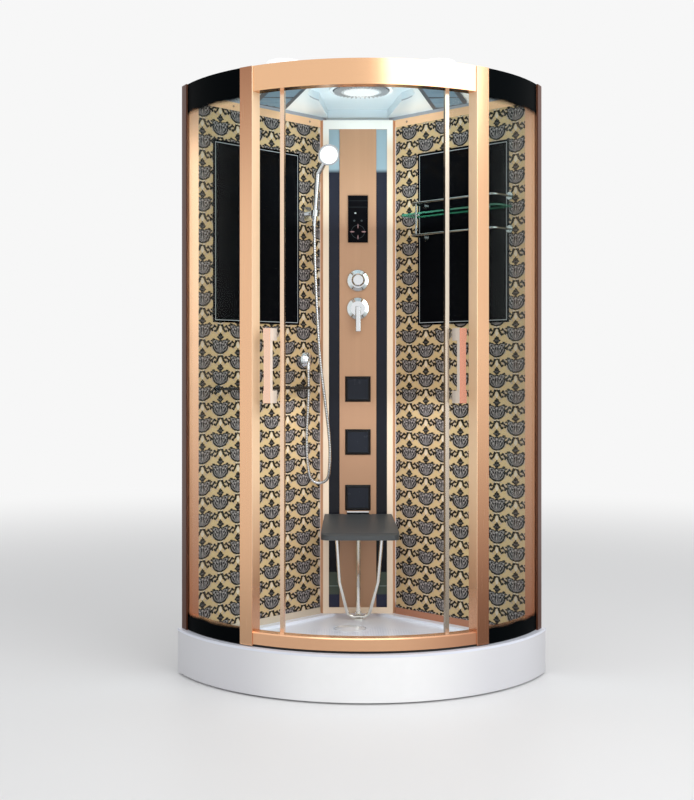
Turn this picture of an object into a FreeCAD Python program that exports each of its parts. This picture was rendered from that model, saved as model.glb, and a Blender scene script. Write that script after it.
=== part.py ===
# Hydromassage shower cabin for a corner: a quadrant tray, a framed glass front with two
# sliding doors, two patterned back walls, a plumbing column in the corner and a roof.
# Millimetres. X runs to the right seen from the front, Y to the back corner, Z up.
# The origin is on the floor, in the middle of the cabin's bounding box.

import FreeCAD, Part
import math
import os

V = FreeCAD.Vector

# Plan of the cabin
tray_side = 900
tray_radius = 700
rim_height = 155
walls_top = 2000
header_top = 2027

# Common small sizes
cut_extra = 2
running_gap = 0.08
free_gap = 0.5
near_enough = 0.001

# Tray
ledge_height = 118
floor_height = 107
tray_skin = 8
threshold_ledge = 22
upstand_width = 8
rim_lip = 8
rim_overhang = 6
bowl_wall_inset = 74
bowl_front_inset = 26
bowl_corner_radius = 70
bowl_cove_radius = 9
threshold_skin = 6
threshold_hollow_angle = 58
drain_x = -35
drain_y = 109
sump_radius = 60
sump_depth = 5
drain_hole_radius = 31

# Apron
apron_skin = 5
apron_foot_gap = 6
apron_flange = 18
apron_end_angle = 65

# Frame and feet below the tray
frame_tube = 25
frame_wall_gap = 30
frame_wall_end = 800
frame_side_y = -150
frame_side_reach = 500
frame_front_y = -400
frame_front_reach = 300
frame_spine_x = 112
foot_pad_radius = 22
foot_pad_height = 10
foot_stem_radius = 6
foot_nut_radius = 11
foot_nut_height = 9
foot_nut_sides = 6
foot_nut_low = 58
foot_front_x = 220
foot_side_x = 470
corner_foot_inset = 60

# Waste trap and its cover
trap_radius = 48
trap_low = 20
trap_skin = 4
trap_flange_radius = 56
trap_neck_radius = 30.6
trap_neck_bore = 25
spigot_radius = 20
spigot_bore = 17
spigot_height = 48
spigot_length = 50
spigot_collar_radius = 24
spigot_collar_length = 5
cover_radius = 56
cover_crown = 7
cover_edge = 3
cover_lift = 2
cover_ring_inner_radius = 26
cover_ring_outer_radius = 31

# Rails of the curved front
rail_inner_radius = 640
rail_seat_depth = 33.5
rail_depth = 40
rail_low = 163
rail_high = 203
rail_bevel = 4
rail_groove_depth = 11
rail_groove_low = 179
rail_groove_high = 191
gasket_inset = 3
gasket_glass_step = 3
beam_low = 1948
beam_high = 2022
cover_low = 1945
track_low = 1957
track_high = 1984
track_depth = 19
track_rib_depth = 8
track_rib_width = 1.6
track_rib_height = 2.4
front_end_angle = 61.5

# Posts, wall profiles and glass of the front
post_inner_angle = 32.0
post_outer_angle = 36.3
post_face_stand = 4
post_pocket_angle = 34.4
post_flank_inset = 1
post_low = 158.2
post_round = 2
glass_skin = 6
glass_low = 158
glass_pocket_gap = 0.3
profile_end_angle = 65.0
profile_face_stand = 6
profile_pocket_angle = 62.9
fixed_glass_from = 34.6
fixed_glass_to = 62.8

# Sliding doors, drawn open
door_open_angle = 24.0
door_end_angle = 60.8
door_rail_gap = 4
door_low = 170
door_high = 1996
edge_width = 14
edge_inner_lip = 3
edge_outer_lip = 2.4
edge_overlap = 2
edge_slot_depth = 9
door_bolt_inset_angle = 4.5
door_bolt_radius = 4
door_hole_radius = 5
door_cap_radius = 12
door_cap_height = 9
door_cap_gap = 0.12
door_washer_radius = 9
door_washer_height = 3
top_bolt_height = 1969.5
low_bolt_height = 185
guide_length = 22
guide_height = 8
guide_depth = 8
wheel_radius = 12
wheel_groove_radius = 9.7
wheel_width = 8
wheel_groove_width = 3.2
wheel_head_radius = 6.5
wheel_head_height = 2.5
stop_length_angle = 1.1
stop_gap_angle = 0.15

# Door handles
handle_low = 940
handle_high = 1181
handle_end = 40
handle_width = 27
handle_stand = 45
handle_angle = 27.5
handle_bar_depth = 16
handle_bar_step = 1.5
handle_cap_radius = 11
handle_cap_height = 5
handle_cap_gap = 0.1

# Back walls
panel_skin = 6
wall_face = 38
wall_start = 243
wall_end = 845
frame_back = 12
frame_front = 41
frame_stile = 20
frame_stile_depth = 8
top_trim = 28
low_trim = 24
dark_glass_from = 356
dark_glass_to = 773
dark_glass_low = 1215
dark_glass_high = 1857
dark_glass_skin = 4
frame_threshold_gap = 0.3
threshold_space_angle = 75

# Column
column_half = 144
column_bar = 33
column_bevel = 11
column_face_y = 324
column_depth = 25
column_top_band = 34
column_low_band = 23
column_panel_half = 70
column_panel_set_back = 2
column_panel_skin = 8
mirror_set_back = 6
mirror_skin = 4

# Display
display_half = 38
display_low = 1533
display_high = 1712
display_stand = 6
display_box_inset = 9
display_box_depth = 60

# Mixer and diverter
diverter_height = 1388
mixer_height = 1281
diverter_flange_radius = 43
mixer_flange_radius = 44
flange_stand = 12
flange_edge = 3
flange_shoulder_share = 0.333
stem_radius = 10
stem_length = 32
knob_radius = 25
knob_stand = 26
knob_round = 6
hub_radius = 24
hub_stand = 20
hub_slot_half = 10.6
hub_slot_depth = 17
lever_half = 10
lever_pivot_forward = 11
lever_eye_radius = 7.5
lever_pin_radius = 3
lever_pin_half = 21
lever_thickness = 10
lever_round = 3.3
lever_reach = 89
lever_stand = 8

# Jets
jet_heights = (974, 772, 560)
jet_half = 48.5
jet_stand = 9
jet_bevel = 6
jet_opening_half = 39.5
jet_box_half = 44
jet_box_depth = 26
jet_box_skin = 3
jet_plate_half = 38.5
jet_plate_skin = 6
jet_plate_set_back = 2
jet_pin_radius = 2
jet_pin_reach = 3

# Valve block, inlets and hoses behind the column
valve_half = 50
valve_front_gap = 26
valve_depth = 40
valve_low_reach = 41
valve_high_reach = 42
valve_sleeve_radius = 16
inlet_spread = 75
inlet_pipe_radius = 12
inlet_radius = 10.45
inlet_length = 26
inlet_collar_radius = 13.5
inlet_collar_length = 3
hose_radius = 7
riser_x = 80
riser_top = 2078
riser_bend = 40
outlet_feed_x = 134
outlet_feed_depth = 17
manifold_low = 540

# Roof
roof_skin = 4
roof_outer_inset = 8
roof_wall_inset = 14
roof_back_y = 348
roof_ceiling = 2012
roof_crown = 2046
roof_rim_high = 2026.5
crown_x = 0
crown_y = -70
crown_radius = 190
trough_half_back = 118
trough_half_front = 165
pod_x = 271
pod_y = -26
pod_base_radius = 138
pod_top_radius = 62
pod_shoulder_height = 2101
pod_shoulder_share = 1.4
pod_top = 2131
vent_outline = ((273, 167), (385, 59), (331, -129), (183, -201))
vent_skin = 6
vent_bar = 17
vent_split_share = 0.52
vent_slat_count = 7
vent_slat_height = 3

# Rain shower head
rain_radius = 112
rain_low = 2022
rain_plate = 9
rain_fin_count = 36
rain_fin_length = 34
rain_fin_width = 3
rain_fin_height = 7
rain_hub_radius = 62
rain_neck_radius = 14

# Hand shower, its bracket and outlet, on the left wall
outlet_along = 200
outlet_height = 1085
outlet_radius = 32
outlet_stand = 24
outlet_steps = 5
outlet_nozzle_forward = 16
outlet_nozzle_radius = 8
outlet_nozzle_low = 1048.3
bracket_along = 195
bracket_height = 1635
bracket_half_width = 18
bracket_half_height = 26
bracket_skin = 6
bracket_reach = 45
bracket_arm_half = 8
bracket_ring_radius = 17
bracket_ring_half = 11
handle_foot = V(-165.5, 244, 1606)
handle_neck = V(-153, 226, 1782)
head_centre = V(-112, 186, 1843)
head_facing = V(0.06, -0.93, -0.36)
grip_foot_radius = 8.5
grip_neck_radius = 11.5
grip_ring_gap = 1.2
head_radius = 39
head_rear_radius = 22
head_depth = 24
head_face_depth = 6
nut_radius = 8.8
nut_length = 20
nut_hose_gap = 0.2

# Hose between outlet and hand shower
hose_diameter = 11
path_share = 0.45
hose_route = [
    V(-165.5, 244, 1586), V(-165.5, 246, 1510), V(-161.5, 248, 1395), V(-155, 250, 1250),
    V(-147, 251, 1115), V(-134, 252, 990), V(-119, 252, 880), V(-109, 251, 790),
    V(-107, 251, 725), V(-109, 250, 680), V(-112, 250, 645.3), V(-121.6, 250, 628.6),
    V(-138.3, 250, 619), V(-157.7, 251, 619), V(-174.4, 252, 628.6), V(-184, 253, 645.3),
    V(-190, 254, 680), V(-195, 255, 735), V(-195, 256, 810), V(-190, 257, 900),
    V(-187, 257, 985), V(-188.7, 257.4, 1048),
]

# Towel bar on the left wall
bar_radius = 5
bar_from = 342
bar_to = 763
bar_height = 980
bar_stand = 45
bar_post_radius = 4.4
bar_post_inset = 10
rosette_radius = 14
rosette_height = 5

# Shelf on the right wall
shelf_from = 341
shelf_to = 787
shelf_height = 1617
shelf_skin = 6
shelf_near = 42.3
shelf_far = 128
shelf_corner = 18
shelf_rail_radius = 4
shelf_post_radius = 3.4
shelf_arm_half = 2.5
shelf_arm_drop = 1
shelf_arm_thick = 3
shelf_rail_from = 396
shelf_rail_to = 777
shelf_rail_stand = 96
shelf_guard_height = 1657
shelf_towel_height = 1540
shelf_bend = 22
shelf_pad_radius = 7
shelf_pad_height = 5

# Fold-up seat
seat_back_half = 126
seat_front_half = 143
seat_back_y = 312
seat_front_y = 36
seat_corner = 30
seat_edge_round = 4
seat_top = 501
seat_crease = 457
seat_lip = 436
seat_skin = 20
seat_dish_share = 0.45
seat_dish_drop_share = 0.3
seat_notch_half = 52
seat_notch_depth = 5
hinge_pin_radius = 5
hinge_pin_half = 60
hinge_y = 306
hinge_z = 482
hinge_plate_half = 42
hinge_plate_skin = 5
hinge_plate_low = 455
hinge_plate_high = 508
hinge_knuckle_radius = 10
hinge_knuckle_half = 20
seat_ear_width = 16
seat_ear_gap = 1
loop_radius = 6.5
loop_top = V(84, 150, 446)
loop_bend_point = V(72, 216, 258)
loop_foot = V(38, 257, 119.8)
loop_round = 26
loop_pin_radius = 4
loop_ear_half = 6
loop_ear_gap = 1
post_y = 278
post_seat_gap = 0.3
post_radius = 9
post_cap_radius = 13
post_cap_height = 26
post_foot_radius = 29
post_foot_height = 6

# Plan geometry that follows from the side and the radius
root_two = math.sqrt(2)
half_diagonal = tray_side / root_two
arc_rise = math.sqrt(tray_radius ** 2 - half_diagonal ** 2)
cabin_depth = half_diagonal + tray_radius - arc_rise
back_y = cabin_depth / 2
centre_y = tray_radius - cabin_depth / 2
up = V(0, 0, 1)
forward = V(0, -1, 0)
backward = V(0, 1, 0)
rightward = V(1, 0, 0)
arc_centre = V(0, centre_y, 0)
tray_low = floor_height - tray_skin
frame_low = tray_low - frame_tube
panel_back = wall_face - panel_skin

# Radii of the front that follow from the rails' inner face
rail_seat_radius = rail_inner_radius + rail_seat_depth
rail_outer_radius = rail_inner_radius + rail_depth
track_rib_radius = rail_inner_radius + track_rib_depth
post_face_radius = rail_outer_radius + post_face_stand
post_flank_radius = rail_inner_radius + post_flank_inset
glass_inner_radius = rail_outer_radius - glass_skin
profile_face_radius = rail_outer_radius + profile_face_stand
door_inner_radius = rail_inner_radius - door_rail_gap - glass_skin
edge_inner_radius = door_inner_radius - edge_inner_lip
edge_outer_radius = door_inner_radius + glass_skin + edge_outer_lip
threshold_inner_radius = rail_inner_radius - threshold_ledge
roof_outer_radius = rail_outer_radius - roof_outer_inset

# Heights of the valve block that follow from its two controls
valve_low = mixer_height - valve_low_reach
valve_high = diverter_height + valve_high_reach


# Helpers for points


def polar(radius, angle, height=0):
    """Point on the curved front: radius from the arc's centre, degrees from the middle."""
    turn = math.radians(angle)
    return V(radius * math.sin(turn), centre_y - radius * math.cos(turn), height)


def outward(angle):
    """Unit vector that points out of the curved front at an angle."""
    turn = math.radians(angle)
    return V(math.sin(turn), -math.cos(turn), 0)


def along_wall(side, along, inward, height=0):
    """Point by a wall: side is 1 or -1, along starts at the back corner."""
    x = side * (along - inward) / root_two
    return V(x, back_y - (along + inward) / root_two, height)


def from_wall(side):
    """Unit vector square to a wall, into the cabin."""
    return V(-side / root_two, -1 / root_two, 0)


def wall_place(side, across):
    """Distance along a wall of a point of its face that lies across from the middle."""
    return across * root_two + wall_face


# Helpers for solids


def prism(points, low, high):
    """Upright prism on a plan outline."""
    corners = [V(p.x, p.y, low) for p in points]
    return Part.Face(Part.makePolygon(corners + corners[:1])).extrude(V(0, 0, high - low))


def block(x_from, x_to, y_from, y_to, z_from, z_to):
    """Box between two corners."""
    return Part.makeBox(x_to - x_from, y_to - y_from, z_to - z_from, V(x_from, y_from, z_from))


def wall_block(side, along_from, along_to, near, far, low, high):
    """Box that lies along a wall."""
    plan = [(along_from, near), (along_to, near), (along_to, far), (along_from, far)]
    return prism([along_wall(side, a, n) for a, n in plan], low, high)


def sector(inner, outer, angle_from, angle_to, low, high):
    """Curved slab that follows the front."""
    middle = (angle_from + angle_to) / 2
    outer_arc = Part.Arc(*[polar(outer, a, low) for a in (angle_from, middle, angle_to)])
    inner_arc = Part.Arc(*[polar(inner, a, low) for a in (angle_to, middle, angle_from)])
    sides = [
        Part.makeLine(polar(outer, angle_to, low), polar(inner, angle_to, low)),
        Part.makeLine(polar(inner, angle_from, low), polar(outer, angle_from, low)),
    ]
    edges = [outer_arc.toShape(), sides[0], inner_arc.toShape(), sides[1]]
    return Part.Face(Part.Wire(edges)).extrude(V(0, 0, high - low))


def swept(profile, angle_from, angle_to):
    """Extrusion bent along the front; the profile is a list of radius and height."""
    corners = [polar(radius, angle_from, height) for radius, height in profile]
    face = Part.Face(Part.makePolygon(corners + corners[:1]))
    return face.revolve(arc_centre, up, angle_to - angle_from)


def turned(profile, place, axis):
    """Solid of revolution; the profile is a list of radius and distance along the axis."""
    corners = [V(radius, 0, reach) for radius, reach in profile]
    solid = Part.Face(Part.makePolygon(corners + corners[:1])).revolve(V(0, 0, 0), up, 360)
    solid.Placement = FreeCAD.Placement(place, FreeCAD.Rotation(up, axis))
    return solid


def rod(start, end, radius):
    """Round bar between two points."""
    return Part.makeCylinder(radius, (end - start).Length, start, end - start)


def quadrant_wire(radius, inset, height):
    """Outline of the cabin drawn in: two straight walls and the curved front."""
    reach = back_y - inset * root_two - centre_y
    side_x = (reach + math.sqrt(2 * radius ** 2 - reach ** 2)) / 2
    side_y = centre_y + reach - side_x
    back = V(0, centre_y + reach, height)
    right = V(side_x, side_y, height)
    left = V(-side_x, side_y, height)
    front = Part.Arc(right, V(0, centre_y - radius, height), left).toShape()
    return Part.Wire([Part.makeLine(back, right), front, Part.makeLine(left, back)])


def quadrant(radius, inset, low, high):
    """Slab with the cabin's outline."""
    return Part.Face(quadrant_wire(radius, inset, low)).extrude(V(0, 0, high - low))


def upright_edges(solid):
    """Vertical straight edges of a solid."""
    return [e for e in solid.Edges if abs(abs(e.tangentAt(e.FirstParameter).z) - 1) < near_enough]


def level_edges(solid, height):
    """Edges that lie at one height."""
    return [
        e for e in solid.Edges
        if abs(e.BoundBox.ZMin - height) < near_enough
        and abs(e.BoundBox.ZMax - height) < near_enough
    ]


def fused(solids):
    """One solid from several that touch or overlap."""
    return solids[0].fuse(solids[1:]).removeSplitter() if len(solids) > 1 else solids[0]


def drilled(solid, cutters):
    """A solid with all its cutters taken away."""
    return solid.cut(cutters)


def group(solids):
    """Separate solids of one node."""
    return Part.Compound(solids)


def bent_path(points, bend=None):
    """Straight runs joined by tangent arcs; the arc is as large as its runs allow."""
    edges = []
    radii = []
    here = points[0]
    for before, corner, after in zip(points, points[1:], points[2:]):
        to_corner = corner - before
        from_corner = after - corner
        turn = to_corner.getAngle(from_corner)
        shorter = min(to_corner.Length, from_corner.Length)
        radius = bend or path_share * shorter / math.tan(turn / 2)
        cut_back = radius * math.tan(turn / 2)
        to_corner.normalize()
        from_corner.normalize()
        start = corner - to_corner * cut_back
        end = corner + from_corner * cut_back
        towards = (from_corner - to_corner).normalize()
        centre = corner + towards * (radius / math.cos(turn / 2))
        middle = centre - towards * radius
        edges.append(Part.makeLine(here, start))
        edges.append(Part.Arc(start, middle, end).toShape())
        radii.append(radius)
        here = end
    edges.append(Part.makeLine(here, points[-1]))
    return Part.Wire(edges), radii


def bent_tube(points, radius, bend=None):
    """Round tube along a bent path, as one solid."""
    path = bent_path(points, bend)[0]
    start_way = points[1] - points[0]
    ring = Part.Wire([Part.Circle(points[0], start_way, radius).toShape()])
    return path.makePipeShell([ring], True, False)


# Tray, apron, frame, feet and drain


def make_shower_tray():
    body = quadrant(tray_radius - rim_overhang, 0, tray_low, rim_height)
    rim = quadrant(tray_radius, 0, rim_height - rim_lip, rim_height)
    well = quadrant(threshold_inner_radius, upstand_width, ledge_height, rim_height + cut_extra)
    bowl_radius = threshold_inner_radius - bowl_front_inset
    bowl = quadrant(bowl_radius, bowl_wall_inset, floor_height, ledge_height + cut_extra)
    bowl = bowl.makeFillet(bowl_corner_radius, upright_edges(bowl))
    bowl = bowl.makeFillet(bowl_cove_radius, level_edges(bowl, floor_height))
    hollow = sector(
        threshold_inner_radius + threshold_skin, tray_radius - rim_overhang - threshold_skin,
        -threshold_hollow_angle, threshold_hollow_angle,
        tray_low - cut_extra, rim_height - rim_lip - threshold_skin,
    )
    sump_low = floor_height - sump_depth
    sump = Part.makeCylinder(sump_radius, tray_skin, V(drain_x, drain_y, sump_low))
    hole_low = tray_low - cut_extra
    hole = Part.makeCylinder(drain_hole_radius, tray_skin, V(drain_x, drain_y, hole_low))
    tray = drilled(fused([body, rim]), [well, bowl, hollow, sump, hole])
    return tray


def make_front_apron():
    top = rim_height - rim_lip
    skin = sector(
        tray_radius - apron_skin, tray_radius, -apron_end_angle, apron_end_angle,
        apron_foot_gap, top,
    )
    foot = sector(
        tray_radius - apron_flange, tray_radius - apron_skin, -apron_end_angle,
        apron_end_angle, apron_foot_gap, apron_foot_gap + apron_skin,
    )
    return fused([skin, foot])


def make_support_frame():
    half = frame_tube / 2
    far = frame_wall_gap + frame_tube
    tubes = [
        wall_block(s, frame_wall_gap, frame_wall_end, frame_wall_gap, far, frame_low, tray_low)
        for s in (1, -1)
    ]
    for y, reach in ((frame_side_y, frame_side_reach), (frame_front_y, frame_front_reach)):
        tubes.append(block(-reach, reach, y - half, y + half, frame_low, tray_low))
    spine_end = back_y - frame_wall_gap * root_two - frame_spine_x - frame_tube
    spine_from = frame_spine_x - half
    spine_to = frame_spine_x + half
    for s in (1, -1):
        low_x, high_x = sorted((s * spine_from, s * spine_to))
        tubes.append(block(low_x, high_x, frame_front_y, spine_end, frame_low, tray_low))
    return fused(tubes)


def foot_places():
    corner_y = back_y - corner_foot_inset
    places = [(0, corner_y)]
    for s in (1, -1):
        places.append((s * foot_side_x, frame_side_y))
        places.append((s * foot_front_x, frame_front_y))
    return places


def make_levelling_feet():
    feet = []
    for x, y in foot_places():
        pad = Part.makeCylinder(foot_pad_radius, foot_pad_height, V(x, y, 0))
        stem_from = foot_pad_height
        stem = Part.makeCylinder(foot_stem_radius, frame_low - stem_from, V(x, y, stem_from))
        ring = [
            V(x + foot_nut_radius * math.cos(turn), y + foot_nut_radius * math.sin(turn), 0)
            for turn in [math.radians(360 * k / foot_nut_sides) for k in range(foot_nut_sides)]
        ]
        nut = prism(ring, foot_nut_low, foot_nut_low + foot_nut_height)
        feet.append(fused([pad, stem, nut]))
    return group(feet)


def make_drain_trap():
    place = V(drain_x, drain_y, trap_low)
    cup = Part.makeCylinder(trap_radius, tray_low - trap_low, place)
    flange_low = tray_low - trap_skin
    flange = Part.makeCylinder(trap_flange_radius, trap_skin, V(drain_x, drain_y, flange_low))
    neck_high = floor_height - sump_depth
    neck = Part.makeCylinder(trap_neck_radius, neck_high - tray_low, V(drain_x, drain_y, tray_low))
    start = V(drain_x, drain_y, spigot_height)
    spigot_end = start + backward * (trap_radius + spigot_length)
    spigot = rod(start, spigot_end, spigot_radius)
    collar_end = start + backward * (trap_radius + spigot_collar_length)
    collar = rod(start, collar_end, spigot_collar_radius)
    bore = rod(start, spigot_end + backward * cut_extra, spigot_bore)
    inside = Part.makeCylinder(
        trap_radius - trap_skin, tray_low - trap_low - 2 * trap_skin,
        place + up * trap_skin,
    )
    mouth = Part.makeCylinder(trap_neck_bore, neck_high - flange_low + 2 * cut_extra,
                              V(drain_x, drain_y, flange_low - cut_extra))
    return drilled(fused([cup, flange, neck, spigot, collar]), [inside, bore, mouth])


def make_drain_cover():
    seat = floor_height - sump_depth
    profile = [
        (0, cover_lift), (cover_ring_inner_radius, cover_lift), (cover_ring_inner_radius, 0),
        (cover_ring_outer_radius, 0), (cover_ring_outer_radius, cover_lift),
        (cover_radius, cover_lift), (cover_radius, cover_lift + cover_edge),
        (0, cover_lift + cover_crown),
    ]
    return turned(profile, V(drain_x, drain_y, seat), up)


# Rails, posts and fixed glass of the curved front


def make_bottom_rail():
    groove = rail_inner_radius + rail_groove_depth
    beam = swept([
        (rail_inner_radius, rail_low), (rail_seat_radius, rail_low),
        (rail_seat_radius, rail_high - rail_bevel), (rail_seat_radius - rail_bevel, rail_high),
        (rail_inner_radius, rail_high), (rail_inner_radius, rail_groove_high),
        (groove, rail_groove_high), (groove, rail_groove_low),
        (rail_inner_radius, rail_groove_low),
    ], -front_end_angle, front_end_angle)
    face = swept([
        (rail_seat_radius - rail_bevel, rail_low), (rail_outer_radius, rail_low),
        (rail_outer_radius, rail_high - rail_bevel),
        (rail_outer_radius - rail_bevel, rail_high), (rail_seat_radius - rail_bevel, rail_high),
    ], -post_inner_angle, post_inner_angle)
    return fused([beam, face])


def make_rail_gasket():
    inner = rail_inner_radius + gasket_inset
    step = rim_height + gasket_glass_step
    outer = rail_outer_radius - gasket_inset
    return swept([
        (inner, rim_height), (outer, rim_height), (outer, step), (rail_seat_radius, step),
        (rail_seat_radius, rail_low), (inner, rail_low),
    ], -front_end_angle, front_end_angle)


def make_header_rail():
    track = rail_inner_radius + track_depth
    rib_inner = track_rib_radius - track_rib_width / 2
    rib_outer = track_rib_radius + track_rib_width / 2
    rib_top = track_low + track_rib_height
    return swept([
        (rail_inner_radius, beam_low), (rail_seat_radius, beam_low),
        (rail_seat_radius, beam_high), (rail_inner_radius, beam_high),
        (rail_inner_radius, track_high), (track, track_high), (track, track_low),
        (rib_outer, track_low), (rib_outer, rib_top), (rib_inner, rib_top),
        (rib_inner, track_low), (rail_inner_radius, track_low),
    ], -front_end_angle, front_end_angle)


def make_header_cover():
    return swept([
        (rail_inner_radius, cover_low), (rail_outer_radius, cover_low),
        (rail_outer_radius, header_top), (rail_seat_radius, header_top),
        (rail_seat_radius, beam_low), (rail_inner_radius, beam_low),
    ], -post_inner_angle, post_inner_angle)


def make_door_posts():
    posts = []
    for s in (1, -1):
        low_angle, high_angle = sorted((s * post_inner_angle, s * post_outer_angle))
        plate = sector(
            rail_seat_radius, post_face_radius, low_angle, high_angle, post_low, header_top,
        )
        plate = plate.makeFillet(post_round, [
            e for e in upright_edges(plate)
            if abs(e.CenterOfMass.distanceToPoint(V(0, centre_y, e.CenterOfMass.z))
                   - post_face_radius) < near_enough
        ])
        flank = sector(
            post_flank_radius, rail_seat_radius, low_angle, high_angle, rail_high, beam_low,
        )
        pocket_from, pocket_to = sorted((s * post_pocket_angle, s * (post_outer_angle + 1)))
        pocket = sector(
            rail_seat_radius + glass_pocket_gap / 2,
            glass_inner_radius + glass_skin + glass_pocket_gap,
            pocket_from, pocket_to, post_low - cut_extra, header_top + cut_extra,
        )
        posts.append(drilled(fused([plate, flank]), [pocket]))
    return group(posts)


def make_wall_profiles():
    profiles = []
    for s in (1, -1):
        low_angle, high_angle = sorted((s * front_end_angle, s * profile_end_angle))
        body = sector(
            rail_inner_radius, profile_face_radius, low_angle, high_angle,
            rim_height, header_top,
        )
        pocket_from, pocket_to = sorted((s * (front_end_angle - 1), s * profile_pocket_angle))
        pocket = sector(
            glass_inner_radius - glass_pocket_gap,
            glass_inner_radius + glass_skin + glass_pocket_gap,
            pocket_from, pocket_to, rim_height + gasket_glass_step, header_top + cut_extra,
        )
        profiles.append(drilled(body, [pocket]))
    return group(profiles)


def make_fixed_glass(side):
    low_angle, high_angle = sorted((side * fixed_glass_from, side * fixed_glass_to))
    return sector(
        glass_inner_radius, glass_inner_radius + glass_skin, low_angle, high_angle,
        glass_low, header_top,
    )


# Sliding doors with their hardware


def door_bolt_angles():
    return (door_open_angle + door_bolt_inset_angle, door_end_angle - door_bolt_inset_angle)


def angle_of(length, radius):
    """Angle in degrees that a length takes up at a radius."""
    return math.degrees(length / radius)


def make_door_glass(side):
    lead = door_open_angle + angle_of(edge_width - edge_slot_depth, door_inner_radius)
    low_angle, high_angle = sorted((side * lead, side * door_end_angle))
    glass = sector(
        door_inner_radius, door_inner_radius + glass_skin, low_angle, high_angle,
        door_low, door_high,
    )
    holes = []
    for angle in door_bolt_angles():
        way = outward(side * angle)
        for height in (top_bolt_height, low_bolt_height):
            start = polar(door_inner_radius - cut_extra, side * angle, height)
            end = start + way * (glass_skin + 2 * cut_extra)
            holes.append(rod(start, end, door_hole_radius))
    return drilled(glass, holes)


def make_door_edge(side):
    trail = door_open_angle + angle_of(edge_width, door_inner_radius)
    low_angle, high_angle = sorted((side * door_open_angle, side * trail))
    bar = sector(
        edge_inner_radius, edge_outer_radius, low_angle, high_angle,
        door_low - edge_overlap, door_high + edge_overlap,
    )
    lead = door_open_angle + angle_of(edge_width - edge_slot_depth, door_inner_radius)
    slot_from, slot_to = sorted((side * lead, side * (trail + 1)))
    slot = sector(
        door_inner_radius, door_inner_radius + glass_skin, slot_from, slot_to,
        door_low, door_high,
    )
    return drilled(bar, [slot])


def make_handle(side):
    half_angle = angle_of(handle_width / 2, door_inner_radius + handle_stand)
    low_angle, high_angle = sorted((side * (handle_angle - half_angle),
                                    side * (handle_angle + half_angle)))
    glass_face = door_inner_radius + glass_skin + handle_cap_gap
    outer = glass_face + handle_stand
    ends = []
    for low in (handle_low, handle_high - handle_end):
        ends.append(sector(glass_face, outer, low_angle, high_angle, low, low + handle_end))
    step = angle_of(handle_bar_step, outer)
    bar = sector(
        outer - handle_bar_step - handle_bar_depth, outer - handle_bar_step,
        low_angle + step, high_angle - step, handle_low + handle_end, handle_high - handle_end,
    )
    caps = []
    for low in (handle_low, handle_high - handle_end):
        start = polar(door_inner_radius - handle_cap_gap, side * handle_angle, low + handle_end / 2)
        caps.append(rod(start, start - outward(side * handle_angle) * handle_cap_height,
                        handle_cap_radius))
    return group([fused(ends + [bar])] + caps)


def make_carriers(side):
    pieces = []
    glass_face = door_inner_radius + glass_skin
    for angle in door_bolt_angles():
        way = outward(side * angle)
        for height in (top_bolt_height, low_bolt_height):
            inside = polar(door_inner_radius, side * angle, height)
            cap_face = inside - way * door_cap_gap
            cap = rod(cap_face - way * door_cap_height, cap_face, door_cap_radius)
            face = polar(glass_face, side * angle, height)
            washer = rod(face, face + way * door_washer_height, door_washer_radius)
            if height == top_bolt_height:
                end = track_rib_radius + wheel_width / 2 + free_gap
                head_end = end + wheel_head_height
                head = rod(polar(end, side * angle, height),
                           polar(head_end, side * angle, height), wheel_head_radius)
            else:
                end = rail_inner_radius + free_gap
                half = angle_of(guide_length / 2, rail_inner_radius)
                head = sector(
                    end, end + guide_depth, side * angle - half, side * angle + half,
                    height - guide_height / 2, height + guide_height / 2,
                )
            bolt = rod(inside - way * cut_extra, polar(end + cut_extra, side * angle, height),
                       door_bolt_radius)
            pieces.append(fused([cap, washer, bolt, head]))
    return group(pieces)


def make_roller(side, angle):
    half = wheel_width / 2
    neck = wheel_groove_width / 2
    flank = neck + (wheel_radius - wheel_groove_radius) / 2
    bore = door_bolt_radius + running_gap
    profile = [
        (bore, -half), (wheel_radius, -half), (wheel_radius, -flank),
        (wheel_groove_radius, -neck), (wheel_groove_radius, neck), (wheel_radius, flank),
        (wheel_radius, half), (bore, half),
    ]
    place = polar(track_rib_radius, side * angle, top_bolt_height)
    return turned(profile, place, outward(side * angle))


def make_door_stops():
    stops = []
    lead, trail = door_bolt_angles()
    reach = angle_of(wheel_radius, track_rib_radius) + stop_gap_angle
    inner = rail_inner_radius + free_gap
    outer = rail_inner_radius + track_depth
    low = track_low + track_rib_height
    for s in (1, -1):
        shut_end = lead - door_open_angle - reach
        open_start = trail + reach
        for near in (shut_end - stop_length_angle, open_start):
            low_angle, high_angle = sorted((s * near, s * (near + stop_length_angle)))
            stops.append(sector(inner, outer, low_angle, high_angle, low, track_high))
    return group(stops)


# Back walls and column


def make_back_panel(side):
    panel = wall_block(side, wall_start, wall_end, panel_back, wall_face,
                       ledge_height + low_trim, walls_top - top_trim)
    return panel.cut(threshold_space())


def make_wall_frames():
    frames = []
    for s in (1, -1):
        low = ledge_height + low_trim
        high = walls_top - top_trim
        pieces = [
            wall_block(s, wall_start, wall_end, frame_back, frame_front, ledge_height, low),
            wall_block(s, wall_start, wall_end, frame_back, frame_front, high, walls_top),
        ]
        stile_near = panel_back - frame_stile_depth
        for start in (wall_start, wall_end - frame_stile):
            pieces.append(wall_block(s, start, start + frame_stile, stile_near, panel_back,
                                     low, high))
        frames.append(fused(pieces).cut(threshold_space()))
    return group(frames)


def threshold_space():
    """The room of the tray's front threshold, which the back walls leave free."""
    return sector(threshold_inner_radius - frame_threshold_gap, tray_radius,
                  -threshold_space_angle, threshold_space_angle,
                  ledge_height - cut_extra, rim_height + frame_threshold_gap)


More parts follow.
